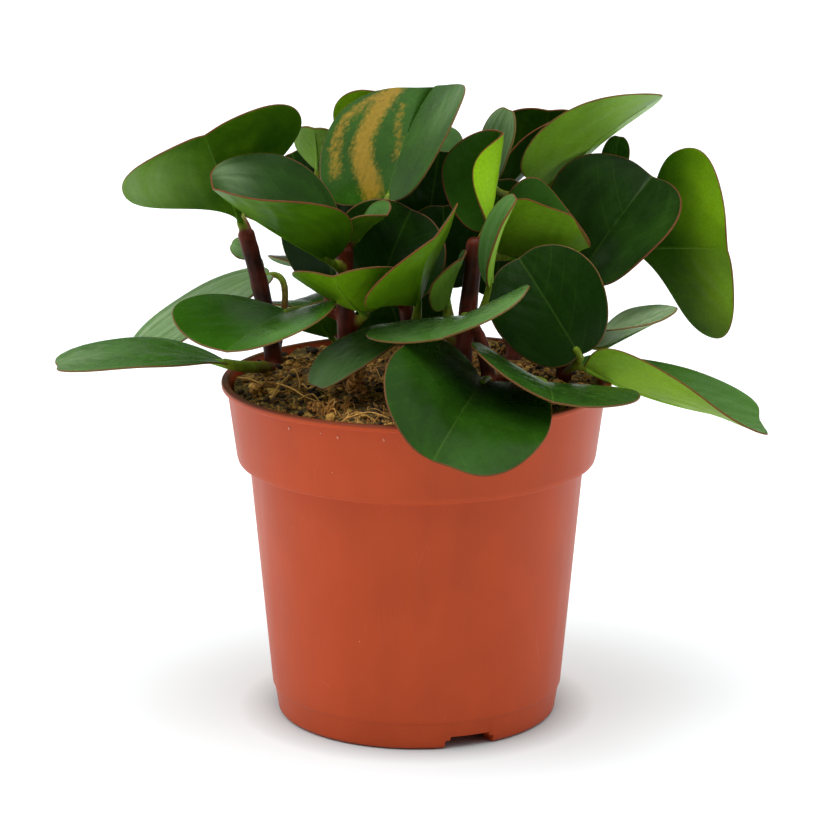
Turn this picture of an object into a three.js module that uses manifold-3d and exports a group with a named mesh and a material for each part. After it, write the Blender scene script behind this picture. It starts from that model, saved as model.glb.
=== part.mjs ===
// Potted peperomia: a round nursery pot of thin moulded plastic, potting soil, nine leafy
// stems and their thick round leaves. Millimetres, +Z up. The origin is on the pot's axis,
// level with its foot, and -Y is the plant's front.

import * as THREE from "three";
import { mergeVertices } from "three/addons/utils/BufferGeometryUtils.js";
import Module from "manifold-3d";

// Pot
const RIM_RADIUS = 60;
const POT_HEIGHT = 105.5;
const LIP_HEIGHT = 2.2;
const LIP_INNER_RADIUS = 57.8;
const LIP_ROUNDING = 0.6;
const COLLAR_TOP_RADIUS = 58.3;
const COLLAR_LOW_RADIUS = 55.5;
const COLLAR_LOW_HEIGHT = 81.8;
const COLLAR_ROUNDING = 1.2;
const BODY_TOP_RADIUS = 51.6;
const BODY_TOP_HEIGHT = 79.8;
const BODY_LOW_RADIUS = 45.1;
const FOOT_STEP_HEIGHT = 8.9;
const FOOT_STEP = 0.5;
const FOOT_RADIUS = 43.6;
const FOOT_ROUNDING = 2.4;
const ROUNDING_MIDDLE = 0.3;
const FOOT_RING_WIDTH = 3.4;
const FLOOR_HEIGHT = 4.2;
const WALL = 1.4;
const INSIDE_CORNER = 0.4;
const POT_SIDES = 40;
const NOTCH_WIDTH = 16;
const NOTCH_HEIGHT = 3.8;
const NOTCH_ANGLES = [-68, 52, 172];
const DRAIN_RADIUS = 4;
const DRAIN_CIRCLE_RADIUS = 25;
const DRAIN_COUNT = 6;
const DRAIN_SIDES = 10;

// Soil
const SOIL_EDGE_HEIGHT = 103;
const SOIL_MOUND = 2.4;
const SOIL_BACK_RISE = 1.4;
const SOIL_LUMP = 0.5;
const SOIL_LUMP_ACROSS = 20;
const SOIL_LUMP_DEEP = 23;
const SOIL_LUMP_SLANTED = 33;
const SOIL_LUMP_SHIFT = 4;
const SOIL_EDGE_SLACK = 0.6;
const SOIL_SIDES = 24;
const SOIL_RINGS = 4;

// Gap between pieces that touch
const GAP = 0.3;

// Leaves
const BLADE_THICKNESS = 1.0;
const BLADE_SPOKES = 16;
const BLADE_RINGS = [0.55, 1];
const BLADE_MIDDLE = 0.48;
const PETIOLE_SIDES = 5;
const PETIOLE_STEPS = 4;
const PETIOLE_REACH = 2.5;
const PETIOLE_PULL = 0.4;
const PETIOLE_CLIMB = 0.8;
const THICK_PETIOLE = 1.6;
const THIN_PETIOLE = 1.2;
const LARGE_LEAF_WIDTH = 34;
const STEM_SIDES = 7;
const STEM_STEPS = 5;
const NOTCH_SHARPNESS = 40;
const ORDINARY_LEAF = {
  egg: 0.06,
  heart: 0.12,
  notch: 0.03,
  open: 0.35,
  twist: 0,
  sharp: [0, 0],
  acute: [0, 0],
};

// Angles and lengths below these count as none
const NO_CURL = 1e-4;
const NO_LENGTH = 1e-4;

// Places on the plant are given as they look from the front viewpoint, far in front of the
// plant and a little above it: how far across and how high a point looks in the upright
// plane through the pot's axis, and how deep it lies behind that plane.
const EYE_DISTANCE = 1060;
const EYE_HEIGHT = 367.5;

function place([across, up, depth]) {
  const spread = 1 + depth / EYE_DISTANCE;
  return new THREE.Vector3(across * spread, depth, EYE_HEIGHT + (up - EYE_HEIGHT) * spread);
}

function direction([across, up, depth]) {
  return new THREE.Vector3(across, depth, up).normalize();
}

// Leafy stems, as points from root to top, with their radius
const STEMS = {
  left: { radius: 2.8, points: [[-39, 80, 19], [-43, 106, 21], [-47.5, 133, 20], [-52, 151, 20]] },
  mid_left: { radius: 2.9, points: [[-19.5, 80, 5], [-19.8, 102, 4], [-21.7, 126, -3], [-22, 146, -5]] },
  middle: { radius: 2.4, points: [[-3, 80, 4], [-3, 102, 6], [-3, 127, 14], [-8, 148, 16]] },
  mid_right: { radius: 2.9, points: [[12.5, 80, -6], [12.8, 101, -6], [14.5, 115, -6], [17.9, 148, -6]] },
  front: { radius: 2.3, points: [[23, 80, -14], [22.8, 99, -14], [21, 112, -15], [19, 119, -14]] },
  right: { radius: 2.5, points: [[44, 80, 2], [45, 103, 1], [46.5, 122, 1], [46, 135, 2]] },
  back_right: { radius: 2.6, points: [[28, 86, 24], [29, 108, 28], [36, 134, 40], [41, 161, 45]] },
  back_left: { radius: 2.6, points: [[-22, 88, 34], [-22, 110, 36], [-27, 137, 44], [-30, 161, 50]] },
  back: { radius: 2.5, points: [[3, 88, 40], [3, 112, 40], [1, 140, 40], [-2, 162, 40]] },
};

// Leaves. base and tip are the ends of the midrib and faces is the way that the upper side
// looks. width is the blade's, laid flat, and bow lifts the middle of the midrib. fold and
// curl turn the halves up from it, in degrees: fold at the midrib, curl on the way out to
// the margin. open is the share of the fold that is gone at the tip, and twist turns the
// tip about the midrib. The left and right half are those seen from above with the tip
// ahead. egg makes the outline wider towards the tip, heart gives the base lobes or, below
// nought, a wedge, and notch dents the tip. sharp makes a half pointed at its side or,
// below nought, square, and acute is the same for the half's outer end alone. from says
// where on its stem the petiole starts, from 0 at the root to 1 at the top, and petiole is
// its radius where it isn't the ordinary one.
const LEAVES = [
  { name: "upper_left", stem: "left", from: 0.98, base: [-53, 153, 20], tip: [-64.5, 181.5, -10],
    faces: [-0.34, 0.62, 0.68], width: 61, bow: 3, fold: [13, 10], curl: [8, 10], heart: -0.32,
    sharp: [1.2, 1.2], acute: [-1, -0.5] },
  { name: "cup_left", stem: "mid_left", from: 0.8, base: [-26, 142, -10], tip: [-63, 165.5, -24],
    faces: [0.45, 1, 0], width: 54, bow: -1, fold: [58, 56], curl: [5, 18], open: 0.8, heart: 0.1 },
  { name: "broad_left", stem: "left", from: 0.36, base: [-45, 138, 34], tip: [-89, 111, 24],
    faces: [-0.35, 1, -0.3], width: 27, bow: 2, fold: [6, 6], curl: [-5, -5] },
  { name: "small_left", stem: "left", from: 0.7, base: [-49, 144, 27], tip: [-56.5, 147.5, 28],
    faces: [-0.3, 0.5, -0.8], width: 7, bow: 1, fold: [6, 6], curl: [8, 8] },
  { name: "long_left", stem: "left", from: 0.3, base: [-57, 109.5, 0], tip: [-112.2, 108.5, -10],
    faces: [-0.1, 1, -0.1], width: 38, bow: 4, fold: [14, 6], curl: [-12, -15], heart: -0.2, petiole: 2 },
  { name: "oval_front_left", stem: "mid_left", from: 0.6, base: [-39, 126.3, -8], tip: [-59, 113, -48],
    faces: [-0.1, 1, -0.3], width: 52, bow: 1, fold: [18, 10], curl: [10, 10] },
  { name: "shade_left", stem: "back_left", from: 0.55, base: [-25, 134, 29], tip: [-28.5, 165, 31],
    faces: [-0.3, 0.5, -0.8], width: 29, bow: 2, fold: [5, 5], curl: [5, 5] },
  { name: "cup_middle", stem: "mid_left", from: 0.55, base: [-15.5, 125.8, -9.5], tip: [-26, 138, -41],
    faces: [0, 0.9, 0.45], width: 37, bow: -2, fold: [18, 20], curl: [20, 20] },
  { name: "dark_middle", stem: "middle", from: 0.66, base: [-11, 133, 6], tip: [-1, 159, 4],
    faces: [-0.1, 0.6, -0.8], width: 37, bow: 2, fold: [8, 8], curl: [8, 8] },
  { name: "bright_middle", stem: "middle", from: 0.45, base: [0.4, 128, -10], tip: [6, 150, -44],
    faces: [-0.76, 0.56, 0.35], width: 42, bow: 2, fold: [10, 10], curl: [10, 10], heart: -0.4 },
  { name: "young_middle", stem: "mid_left", from: 0.97, base: [-18.5, 148.5, -1], tip: [-8.5, 156.5, -9],
    faces: [-0.5, 1, 0.1], width: 19, bow: 1, fold: [25, 25], curl: [20, 20] },
  { name: "variegated", stem: "middle", from: 0.98, base: [-9, 160, 9], tip: [6, 196.4, 42],
    faces: [-0.46, 0.7, -0.53], width: 60, bow: 3, fold: [2, 22], curl: [5, 12], open: 0.12,
    sharp: [-0.5, -0.15], acute: [0.1, 1.8] },
  { name: "crown_left", stem: "back", from: 0.98, base: [-12, 172, 66], tip: [-12.5, 195, 54],
    faces: [0, 0.6, 0.75], width: 28, bow: 2, fold: [8, 8], curl: [8, 8] },
  { name: "crown_pale", stem: "back_left", from: 0.98, base: [-30, 170, 53], tip: [-31, 183.5, 46],
    faces: [0.2, 0.6, 0.6], width: 16, bow: 1, fold: [10, 10], curl: [10, 10], heart: -0.2 },
  { name: "crown_dark", stem: "back_left", from: 0.8, base: [-32, 163, 60], tip: [-38, 176, 60],
    faces: [-0.2, 0.4, -1], width: 14, bow: 1, fold: [6, 6], curl: [6, 6] },
  { name: "dark_crown", stem: "back", from: 0.8, base: [3, 150, 32], tip: [7, 177, 34],
    faces: [0, 0.3, -1], width: 28, bow: 2, fold: [6, 6], curl: [6, 6] },
  { name: "folded_upright", stem: "mid_right", from: 0.98, base: [20.6, 151, 1], tip: [25.4, 183.2, 9],
    faces: [-0.1, 0.2, -1], width: 32, bow: -2, fold: [8, 58], curl: [10, 112], egg: 0.1, open: 0,
    sharp: [0.3, 0] },
  { name: "pale_upright", stem: "back_right", from: 0.95, base: [22.5, 168, 22], tip: [28, 189.5, 18],
    faces: [-0.5, 0.3, -1], width: 12, bow: 1, fold: [15, 15], curl: [15, 15] },
  { name: "narrow_bright", stem: "mid_right", from: 0.6, base: [22.3, 135, -13], tip: [30.8, 162.5, -20],
    faces: [-0.95, 0.35, -0.3], width: 13, bow: 2, fold: [30, 20], curl: [20, 20] },
  { name: "olive_low", stem: "mid_right", from: 0.4, base: [9, 127.5, -9.5], tip: [14.5, 143.5, -17],
    faces: [-0.7, 0.5, 0.2], width: 20, bow: 1, fold: [15, 15], curl: [10, 10] },
  { name: "dark_low", stem: "mid_right", from: 0.55, base: [9, 134, 20], tip: [8, 160, 26],
    faces: [0, 0.5, -0.9], width: 26, bow: 2, fold: [6, 6], curl: [6, 6] },
  { name: "crown_right_back", stem: "back_right", from: 0.97, base: [38, 170, 62], tip: [40, 189, 52],
    faces: [0, 0.6, 0.75], width: 30, bow: 2, fold: [8, 8], curl: [8, 8] },
  { name: "crown_right", stem: "back_right", from: 0.9, base: [25.5, 163.5, 50], tip: [54, 187.5, 42],
    faces: [-0.5, 0.7, 0.5], width: 24, bow: 2, fold: [8, 8], curl: [8, 8] },
  { name: "pointed_right", stem: "back_right", from: 0.9, base: [40.5, 165.5, 40], tip: [74.2, 193.2, 32],
    faces: [-0.5, 0.7, 0.5], width: 42, bow: 2, fold: [12, 12], curl: [15, 15], egg: -0.2, heart: 0.2,
    sharp: [0, -0.3], acute: [0.7, 0.7], notch: 0 },
  { name: "small_right", stem: "back_right", from: 0.6, base: [59, 168, 52], tip: [61.3, 181, 52],
    faces: [0, 0.3, -1], width: 9, bow: 1, fold: [6, 6], curl: [6, 6] },
  { name: "round_right", stem: "back_right", from: 0.5, base: [51.2, 139.3, 28], tip: [72.2, 169.2, 34],
    faces: [-0.15, 0.35, -0.9], width: 48, bow: 3, fold: [4, 40], curl: [8, 20] },
  { name: "far_right", stem: "back_right", from: 0.7, base: [63.5, 146, 50], tip: [95.6, 145.3, 16],
    faces: [0.68, 0.1, 0.73], width: 61, bow: 3, fold: [6, 6], curl: [6, 6], heart: -0.35, egg: 0.25,
    sharp: [0.6, -0.1] },
  { name: "cup_right", stem: "mid_right", from: 0.8, base: [25.5, 143.6, 16], tip: [53.8, 147, 10],
    faces: [-0.1, 1, 0], width: 48, bow: -1.6, fold: [76, 57], curl: [8, 8], open: 0.1,
    heart: 0.3, egg: -0.25, acute: [0.6, -0.8] },
  { name: "dark_round", stem: "right", from: 0.45, base: [50, 112.5, -11], tip: [30.5, 144, -1],
    faces: [0.1, 0.2, -1], width: 36, bow: 2, fold: [6, 6], curl: [6, 6] },
  { name: "pale_right", stem: "right", from: 0.6, base: [56.5, 114.8, 8], tip: [80.3, 127.2, 0],
    faces: [-0.2, 1, -0.12], width: 28, bow: 0, fold: [16, 45], curl: [4, 4], open: 1, egg: -0.3,
    acute: [0.6, 0.6] },
  { name: "long_right", stem: "right", from: 0.3, base: [51, 108.8, -8], tip: [107.7, 91.8, 8],
    faces: [0.2, 1, 0], width: 34, bow: -3, fold: [24, 60], curl: [5, 5], open: 0.75, twist: 26, egg: 0,
    sharp: [0.4, -0.3], acute: [-0.55, -0.35] },
  { name: "folded_front", stem: "front", from: 0.4, base: [39, 104, -22], tip: [42, 97.2, -62],
    faces: [0.3, 1, -0.03], width: 54, bow: 1, fold: [10, 12], curl: [10, 10] },
  { name: "heart_front", stem: "front", from: 0.35, base: [20.4, 104, -29], tip: [4.4, 77.4, -78],
    faces: [0.35, 1, -0.3], width: 53, bow: 4, fold: [14, 19], curl: [5, 5], heart: 0.5, egg: 0.07,
    acute: [-0.4, 0.2] },
  { name: "flat_front", stem: "front", from: 0.8, base: [15, 125, -16], tip: [7.2, 117.2, -50],
    faces: [-0.3, 1, -0.25], width: 52, bow: 1, fold: [14, 4], curl: [5, 5], heart: 0.3,
    sharp: [-0.45, 0] },
  { name: "drooping_front", stem: "middle", from: 0.4, base: [0, 121, -12], tip: [-31.5, 101.5, -32],
    faces: [-0.2, 1, -0.1], width: 25, bow: 4, fold: [6, 6], curl: [-5, -5] },
  { name: "back_high", stem: "back", from: 0.8, base: [4, 153, 54], tip: [0, 159, 79],
    faces: [0, 0.7, 0.7], width: 38, bow: 3, fold: [8, 8], curl: [8, 8] },
  { name: "back_top", stem: "back", from: 0.98, base: [8, 171, 57], tip: [5, 184, 76],
    faces: [0, 0.8, 0.5], width: 16, bow: 1, fold: [15, 15], curl: [10, 10] },
  { name: "back_middle", stem: "back", from: 0.5, base: [3, 143, 50], tip: [0, 144, 77],
    faces: [0.1, 0.9, 0.4], width: 38, bow: 2, fold: [6, 6], curl: [6, 6] },
  { name: "back_left_high", stem: "back_left", from: 0.8, base: [-36, 152.5, 54], tip: [-47, 158, 77],
    faces: [-0.3, 0.8, 0.5], width: 38, bow: 3, fold: [6, 6], curl: [8, 8] },
  { name: "back_left_low", stem: "back_left", from: 0.4, base: [-30, 128, 48], tip: [-44, 125, 76],
    faces: [-0.3, 0.9, 0.4], width: 34, bow: 3, fold: [6, 6], curl: [5, 5] },
  { name: "back_right_low", stem: "back_right", from: 0.35, base: [35, 128, 42], tip: [39, 126, 76],
    faces: [0.2, 0.9, 0.4], width: 32, bow: 3, fold: [6, 6], curl: [5, 5] },
  { name: "back_right_high", stem: "back_right", from: 0.75, base: [50, 152, 54], tip: [64, 154, 74],
    faces: [0.3, 0.8, 0.5], width: 36, bow: 3, fold: [8, 8], curl: [8, 8] },
  { name: "left_back", stem: "left", from: 0.9, base: [-57, 160, 34], tip: [-74, 166, 62],
    faces: [-0.4, 0.8, 0.45], width: 36, bow: 3, fold: [6, 6], curl: [6, 6] },
  { name: "back_left_middle", stem: "back_left", from: 0.6, base: [-27, 140, 52], tip: [-31, 140, 78],
    faces: [-0.15, 0.9, 0.4], width: 34, bow: 3, fold: [8, 8], curl: [6, 6] },
  { name: "back_right_middle", stem: "back_right", from: 0.6, base: [36, 144, 52], tip: [43, 143, 77],
    faces: [0.15, 0.9, 0.4], width: 31, bow: 3, fold: [8, 8], curl: [6, 6] },
  { name: "low_left", stem: "back_left", from: 0.35, base: [-26, 118, 25], tip: [-34.5, 128, 15],
    faces: [0, 0.7, 0.6], width: 22, bow: 1, fold: [8, 8], curl: [6, 6], heart: -0.2 },
  { name: "low_middle", stem: "back", from: 0.35, base: [-4, 117, 28], tip: [-9, 132, 27],
    faces: [0, 0.3, -1], width: 33, bow: 1, fold: [6, 6], curl: [6, 6] },
  { name: "shade_right", stem: "back_right", from: 0.35, base: [25, 132, 40], tip: [24.5, 168.5, 43],
    faces: [0, 0.3, -1], width: 24, bow: 1, fold: [6, 6], curl: [6, 6], sharp: [-0.2, -0.2] },
].map((row) => ({ ...ORDINARY_LEAF, ...row }));

const wasm = await Module();
wasm.setup();

// Solids
function toSolid(geometry) {
  const bare = geometry.clone();
  bare.deleteAttribute("normal");
  bare.deleteAttribute("uv");
  const merged = mergeVertices(bare, NO_LENGTH);
  const mesh = new wasm.Mesh({
    numProp: 3,
    vertProperties: new Float32Array(merged.attributes.position.array),
    triVerts: new Uint32Array(merged.index.array),
  });
  const solid = new wasm.Manifold(mesh);
  if (solid.volume() >= 0) {
    return solid;
  }
  mesh.triVerts.reverse();
  return new wasm.Manifold(mesh);
}

function toGeometry(solid) {
  const mesh = solid.getMesh();
  const geometry = new THREE.BufferGeometry();
  geometry.setAttribute("position", new THREE.BufferAttribute(mesh.vertProperties, 3));
  geometry.setIndex(new THREE.BufferAttribute(mesh.triVerts, 1));
  geometry.computeVertexNormals();
  return geometry;
}

function tube(curve, radius, sides, steps) {
  const section = new THREE.Shape(
    Array.from({ length: sides }, (_, i) => {
      const angle = (2 * Math.PI * i) / sides;
      return new THREE.Vector2(radius * Math.cos(angle), radius * Math.sin(angle));
    }),
  );
  const options = { steps, extrudePath: curve, bevelEnabled: false, curveSegments: 1 };
  return new THREE.ExtrudeGeometry(section, options);
}

function turned(profile, sides) {
  return new THREE.LatheGeometry(
    profile.map(([radius, height]) => new THREE.Vector2(radius, height)),
    sides,
  ).rotateX(Math.PI / 2);
}

// Pot
function potSolid() {
  const lipBottom = POT_HEIGHT - LIP_HEIGHT;
  const outside = [
    [FOOT_RADIUS - FOOT_ROUNDING, 0],
    [FOOT_RADIUS - FOOT_ROUNDING * ROUNDING_MIDDLE, FOOT_ROUNDING * ROUNDING_MIDDLE],
    [FOOT_RADIUS, FOOT_ROUNDING],
    [BODY_LOW_RADIUS - FOOT_STEP, FOOT_STEP_HEIGHT - FOOT_STEP],
    [BODY_LOW_RADIUS, FOOT_STEP_HEIGHT],
    [BODY_TOP_RADIUS, BODY_TOP_HEIGHT],
    [COLLAR_LOW_RADIUS - COLLAR_ROUNDING, COLLAR_LOW_HEIGHT - COLLAR_ROUNDING],
    [COLLAR_LOW_RADIUS, COLLAR_LOW_HEIGHT + LIP_ROUNDING],
    [COLLAR_TOP_RADIUS, lipBottom],
    [RIM_RADIUS, lipBottom + LIP_ROUNDING],
    [RIM_RADIUS, POT_HEIGHT - LIP_ROUNDING],
    [RIM_RADIUS - LIP_ROUNDING, POT_HEIGHT],
  ];
  const inside = [
    [LIP_INNER_RADIUS, POT_HEIGHT],
    [COLLAR_TOP_RADIUS - WALL, lipBottom],
    [COLLAR_LOW_RADIUS - WALL, COLLAR_LOW_HEIGHT + COLLAR_ROUNDING],
    [BODY_TOP_RADIUS - WALL, BODY_TOP_HEIGHT + LIP_ROUNDING],
    [BODY_LOW_RADIUS - WALL, FOOT_STEP_HEIGHT],
    [BODY_LOW_RADIUS - WALL - INSIDE_CORNER, FLOOR_HEIGHT + WALL],
    [0, FLOOR_HEIGHT + WALL],
    [0, FLOOR_HEIGHT],
    [FOOT_RADIUS - FOOT_RING_WIDTH - FOOT_ROUNDING, FLOOR_HEIGHT],
    [FOOT_RADIUS - FOOT_RING_WIDTH - FOOT_ROUNDING, 0],
  ];
  const profile = [...outside, ...inside, outside[0]];
  let pot = toSolid(turned(profile, POT_SIDES));
  const notchShape = new THREE.BoxGeometry(4 * FOOT_RING_WIDTH + WALL, NOTCH_WIDTH, 2 * NOTCH_HEIGHT);
  for (const angle of NOTCH_ANGLES) {
    const notch = notchShape.clone();
    notch.translate(FOOT_RADIUS, 0, 0);
    notch.rotateZ(THREE.MathUtils.degToRad(angle));
    pot = pot.subtract(toSolid(notch));
  }
  const drain = new THREE.CylinderGeometry(DRAIN_RADIUS, DRAIN_RADIUS, 4 * FLOOR_HEIGHT, DRAIN_SIDES);
  drain.rotateX(Math.PI / 2);
  for (let i = 0; i < DRAIN_COUNT; i += 1) {
    const angle = (2 * Math.PI * (i + 0.5)) / DRAIN_COUNT;
    const hole = drain.clone();
    hole.translate(DRAIN_CIRCLE_RADIUS * Math.cos(angle), DRAIN_CIRCLE_RADIUS * Math.sin(angle), 0);
    pot = pot.subtract(toSolid(hole));
  }
  return pot;
}

// Soil: a plug that fills the pot, mounded and lumpy on top
function soilTop(x, y) {
  const edge = Math.hypot(x, y) / LIP_INNER_RADIUS;
  const wave = (distance, length) => Math.sin((2 * Math.PI * distance) / length);
  const across = wave(x + SOIL_LUMP_SHIFT, SOIL_LUMP_ACROSS);
  const deep = wave(y + SOIL_LUMP_SHIFT, SOIL_LUMP_DEEP);
  const lump = across * deep + wave(x + y, SOIL_LUMP_SLANTED);
  const slope = (SOIL_BACK_RISE * y) / LIP_INNER_RADIUS;
  return SOIL_EDGE_HEIGHT + SOIL_MOUND * (1 - edge * edge) + slope + SOIL_LUMP * lump;
}

function soilSolid() {
  const low = FLOOR_HEIGHT + WALL + GAP;
  const profile = [
    [0, low],
    [BODY_LOW_RADIUS - WALL - GAP - INSIDE_CORNER, low],
    [BODY_LOW_RADIUS - WALL - GAP, FOOT_STEP_HEIGHT],
    [BODY_TOP_RADIUS - WALL - GAP, BODY_TOP_HEIGHT + LIP_ROUNDING],
    [COLLAR_LOW_RADIUS - WALL - GAP, COLLAR_LOW_HEIGHT + COLLAR_ROUNDING + GAP],
  ];
  const topRadius = COLLAR_TOP_RADIUS - WALL - GAP - SOIL_EDGE_SLACK;
  for (let ring = SOIL_RINGS; ring >= 0; ring -= 1) {
    profile.push([(topRadius * ring) / SOIL_RINGS, POT_HEIGHT]);
  }
  const soil = turned(profile, SOIL_SIDES);
  const position = soil.attributes.position;
  for (let i = 0; i < position.count; i += 1) {
    if (position.getZ(i) === POT_HEIGHT) {
      position.setZ(i, soilTop(position.getX(i), position.getY(i)));
    }
  }
  return toSolid(soil);
}

// Leaf blade: a flat outline first, then bent
function outline(turn, length, halfWidth, leaf) {
  const side = Math.sin(turn);
  const ahead = Math.cos(turn);
  const half = side < 0 ? 0 : 1;
  const lobe = leaf.heart * Math.abs(side) * Math.max(0, ahead) ** 2;
  const dent = leaf.notch * Math.max(0, -ahead) ** NOTCH_SHARPNESS;
  const sharp = 1 + leaf.sharp[half] + (ahead < 0 ? leaf.acute[half] : 0);
  return {
    across: halfWidth * Math.sign(side) * Math.abs(side) ** sharp * (1 - leaf.egg * ahead),
    along: length * ((1 - ahead) / 2 - lobe - dent),
  };
}

function leafFrame(leaf) {
  const base = place(leaf.base);
  const chord = place(leaf.tip).sub(base);
  const reach = chord.length();
  const ahead = chord.clone().normalize();
  const faces = direction(leaf.faces);
  const above = faces.addScaledVector(ahead, -faces.dot(ahead)).normalize();
  const right = ahead.clone().cross(above);
  return { base, reach, ahead, above, right };
}

// A point of the bent blade, from its place on the flat one
function bend(frame, leaf, across, along, halfWidth) {
  const t = along / frame.reach;
  const rise = 4 * leaf.bow * t * (1 - t);
  const slope = Math.atan2(4 * leaf.bow * (1 - 2 * t), frame.reach);
  const side = across < 0 ? 0 : 1;
  const open = 1 - leaf.open * t;
  const twist = THREE.MathUtils.degToRad(leaf.twist) * t;
  const above = frame.above.clone().applyAxisAngle(frame.ahead, twist);
  const right = frame.right.clone().applyAxisAngle(frame.ahead, twist);
  const fold = THREE.MathUtils.degToRad(leaf.fold[side]) * open;
  const curl = THREE.MathUtils.degToRad(leaf.curl[side]) || NO_CURL;
  const outward = Math.abs(across) / halfWidth;
  const spread = (halfWidth / curl) * (Math.sin(fold + curl * outward) - Math.sin(fold));
  const lift = (halfWidth / curl) * (Math.cos(fold) - Math.cos(fold + curl * outward));
  return frame.base
    .clone()
    .addScaledVector(frame.ahead, along - lift * Math.sin(slope))
    .addScaledVector(above, rise + lift * Math.cos(slope))
    .addScaledVector(right, spread * Math.sign(across));
}

function bladeSheet(leaf) {
  const frame = leafFrame(leaf);
  const halfWidth = leaf.width / 2;
  const middle = BLADE_MIDDLE * frame.reach;
  const points = [bend(frame, leaf, 0, middle, halfWidth)];
  for (const ring of BLADE_RINGS) {
    for (let spoke = 0; spoke < BLADE_SPOKES; spoke += 1) {
      const edge = outline((2 * Math.PI * spoke) / BLADE_SPOKES, frame.reach, halfWidth, leaf);
      const along = middle + ring * (edge.along - middle);
      points.push(bend(frame, leaf, ring * edge.across, along, halfWidth));
    }
  }
  const triangles = [];
  const at = (ring, spoke) => 1 + ring * BLADE_SPOKES + (spoke % BLADE_SPOKES);
  for (let spoke = 0; spoke < BLADE_SPOKES; spoke += 1) {
    triangles.push([0, at(0, spoke + 1), at(0, spoke)]);
    for (let ring = 1; ring < BLADE_RINGS.length; ring += 1) {
      triangles.push([at(ring - 1, spoke), at(ring - 1, spoke + 1), at(ring, spoke)]);
      triangles.push([at(ring - 1, spoke + 1), at(ring, spoke + 1), at(ring, spoke)]);
    }
  }
  return { points, triangles };
}

// The sheet thickened evenly to both sides of its middle
function bladeSolid(leaf) {
  const { points, triangles } = bladeSheet(leaf);
  const normals = points.map(() => new THREE.Vector3());
  for (const [a, b, c] of triangles) {
    const first = points[b].clone().sub(points[a]);
    const normal = first.cross(points[c].clone().sub(points[a]));
    for (const corner of [a, b, c]) {
      normals[corner].add(normal);
    }
  }
  const count = points.length;
  const positions = [];
  for (const half of [0.5, -0.5]) {
    points.forEach((point, i) => {
      const offset = normals[i].clone().normalize().multiplyScalar(half * BLADE_THICKNESS);
      positions.push(...point.clone().add(offset).toArray());
    });
  }
  const index = [];
  for (const [a, b, c] of triangles) {
    index.push(a, b, c, count + a, count + c, count + b);
  }
  const rim = count - BLADE_SPOKES;
  for (let spoke = 0; spoke < BLADE_SPOKES; spoke += 1) {
    const here = rim + spoke;
    const next = rim + ((spoke + 1) % BLADE_SPOKES);
    index.push(here, next, count + here, next, count + next, count + here);
  }
  const geometry = new THREE.BufferGeometry();
  geometry.setAttribute("position", new THREE.Float32BufferAttribute(positions, 3));
  geometry.setIndex(index);
  return toSolid(geometry);
}

// Stems and petioles
function stemCurve(stem, deeper = 0) {
  const points = stem.points.map(place);
  points[0].z -= deeper;
  return new THREE.CatmullRomCurve3(points);
}

function petioleCurve(leaf) {
  const start = stemCurve(STEMS[leaf.stem]).getPoint(leaf.from);
  const { base, ahead, above } = leafFrame(leaf);
  const slope = Math.atan2(4 * leaf.bow, leafFrame(leaf).reach);
  const arrival = ahead.clone().multiplyScalar(Math.cos(slope)).addScaledVector(above, Math.sin(slope));
  const pull = PETIOLE_PULL * start.distanceTo(base);
  const climb = new THREE.Vector3(0, 0, PETIOLE_CLIMB * pull).add(start);
  const end = base.clone().addScaledVector(arrival, PETIOLE_REACH);
  return new THREE.CubicBezierCurve3(start, climb, base.clone().addScaledVector(arrival, -pull), end);
}

function petioleRadius(leaf) {
  return leaf.petiole ?? (leaf.width > LARGE_LEAF_WIDTH ? THICK_PETIOLE : THIN_PETIOLE);
}

function stemSolid(name, extra = 0) {
  const stem = STEMS[name];
  let solid = toSolid(tube(stemCurve(stem, extra), stem.radius + extra, STEM_SIDES, STEM_STEPS));
  for (const leaf of LEAVES.filter((one) => one.stem === name)) {
    solid = solid.add(petioleSolid(leaf, extra));
  }
  return solid;
}

function petioleSolid(leaf, extra = 0) {
  return toSolid(tube(petioleCurve(leaf), petioleRadius(leaf) + extra, PETIOLE_SIDES, PETIOLE_STEPS));
}

// Finishes
const finish = (color, roughness) => new THREE.MeshStandardMaterial({ color, roughness, metalness: 0 });
const TERRACOTTA_PLASTIC = finish(0xb24a2b, 0.42);
const PEAT = finish(0x2a1d12, 0.95);
const STEM_SKIN = finish(0x5c2416, 0.5);
const LEAF_SKIN = finish(0x2f6a1a, 0.38);

function named(name, solid, material) {
  const mesh = new THREE.Mesh(toGeometry(solid), material);
  mesh.name = name;
  return mesh;
}

const plant = new THREE.Group();
plant.add(named("pot", potSolid(), TERRACOTTA_PLASTIC));

let soil = soilSolid();
for (const stem of Object.keys(STEMS)) {
  soil = soil.subtract(stemSolid(stem, GAP));
}
plant.add(named("soil", soil, PEAT));

for (const stem of Object.keys(STEMS)) {
  plant.add(named(`stem_${stem}`, stemSolid(stem), STEM_SKIN));
}

for (const leaf of LEAVES) {
  const blade = bladeSolid(leaf).subtract(petioleSolid(leaf, GAP));
  plant.add(named(`leaf_${leaf.name}`, blade, LEAF_SKIN));
}

export default plant;
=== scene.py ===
"""Potted peperomia: a round nursery pot, potting soil, nine leafy stems and thick round leaves.

Laid out as an add-on and run as a script. Lengths in the tables are millimetres, +Z up, with the
origin on the pot's axis level with its foot, and -Y the plant's front.
"""

import math
import random

import bmesh
import bpy
import numpy as np
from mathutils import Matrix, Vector, noise


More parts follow.
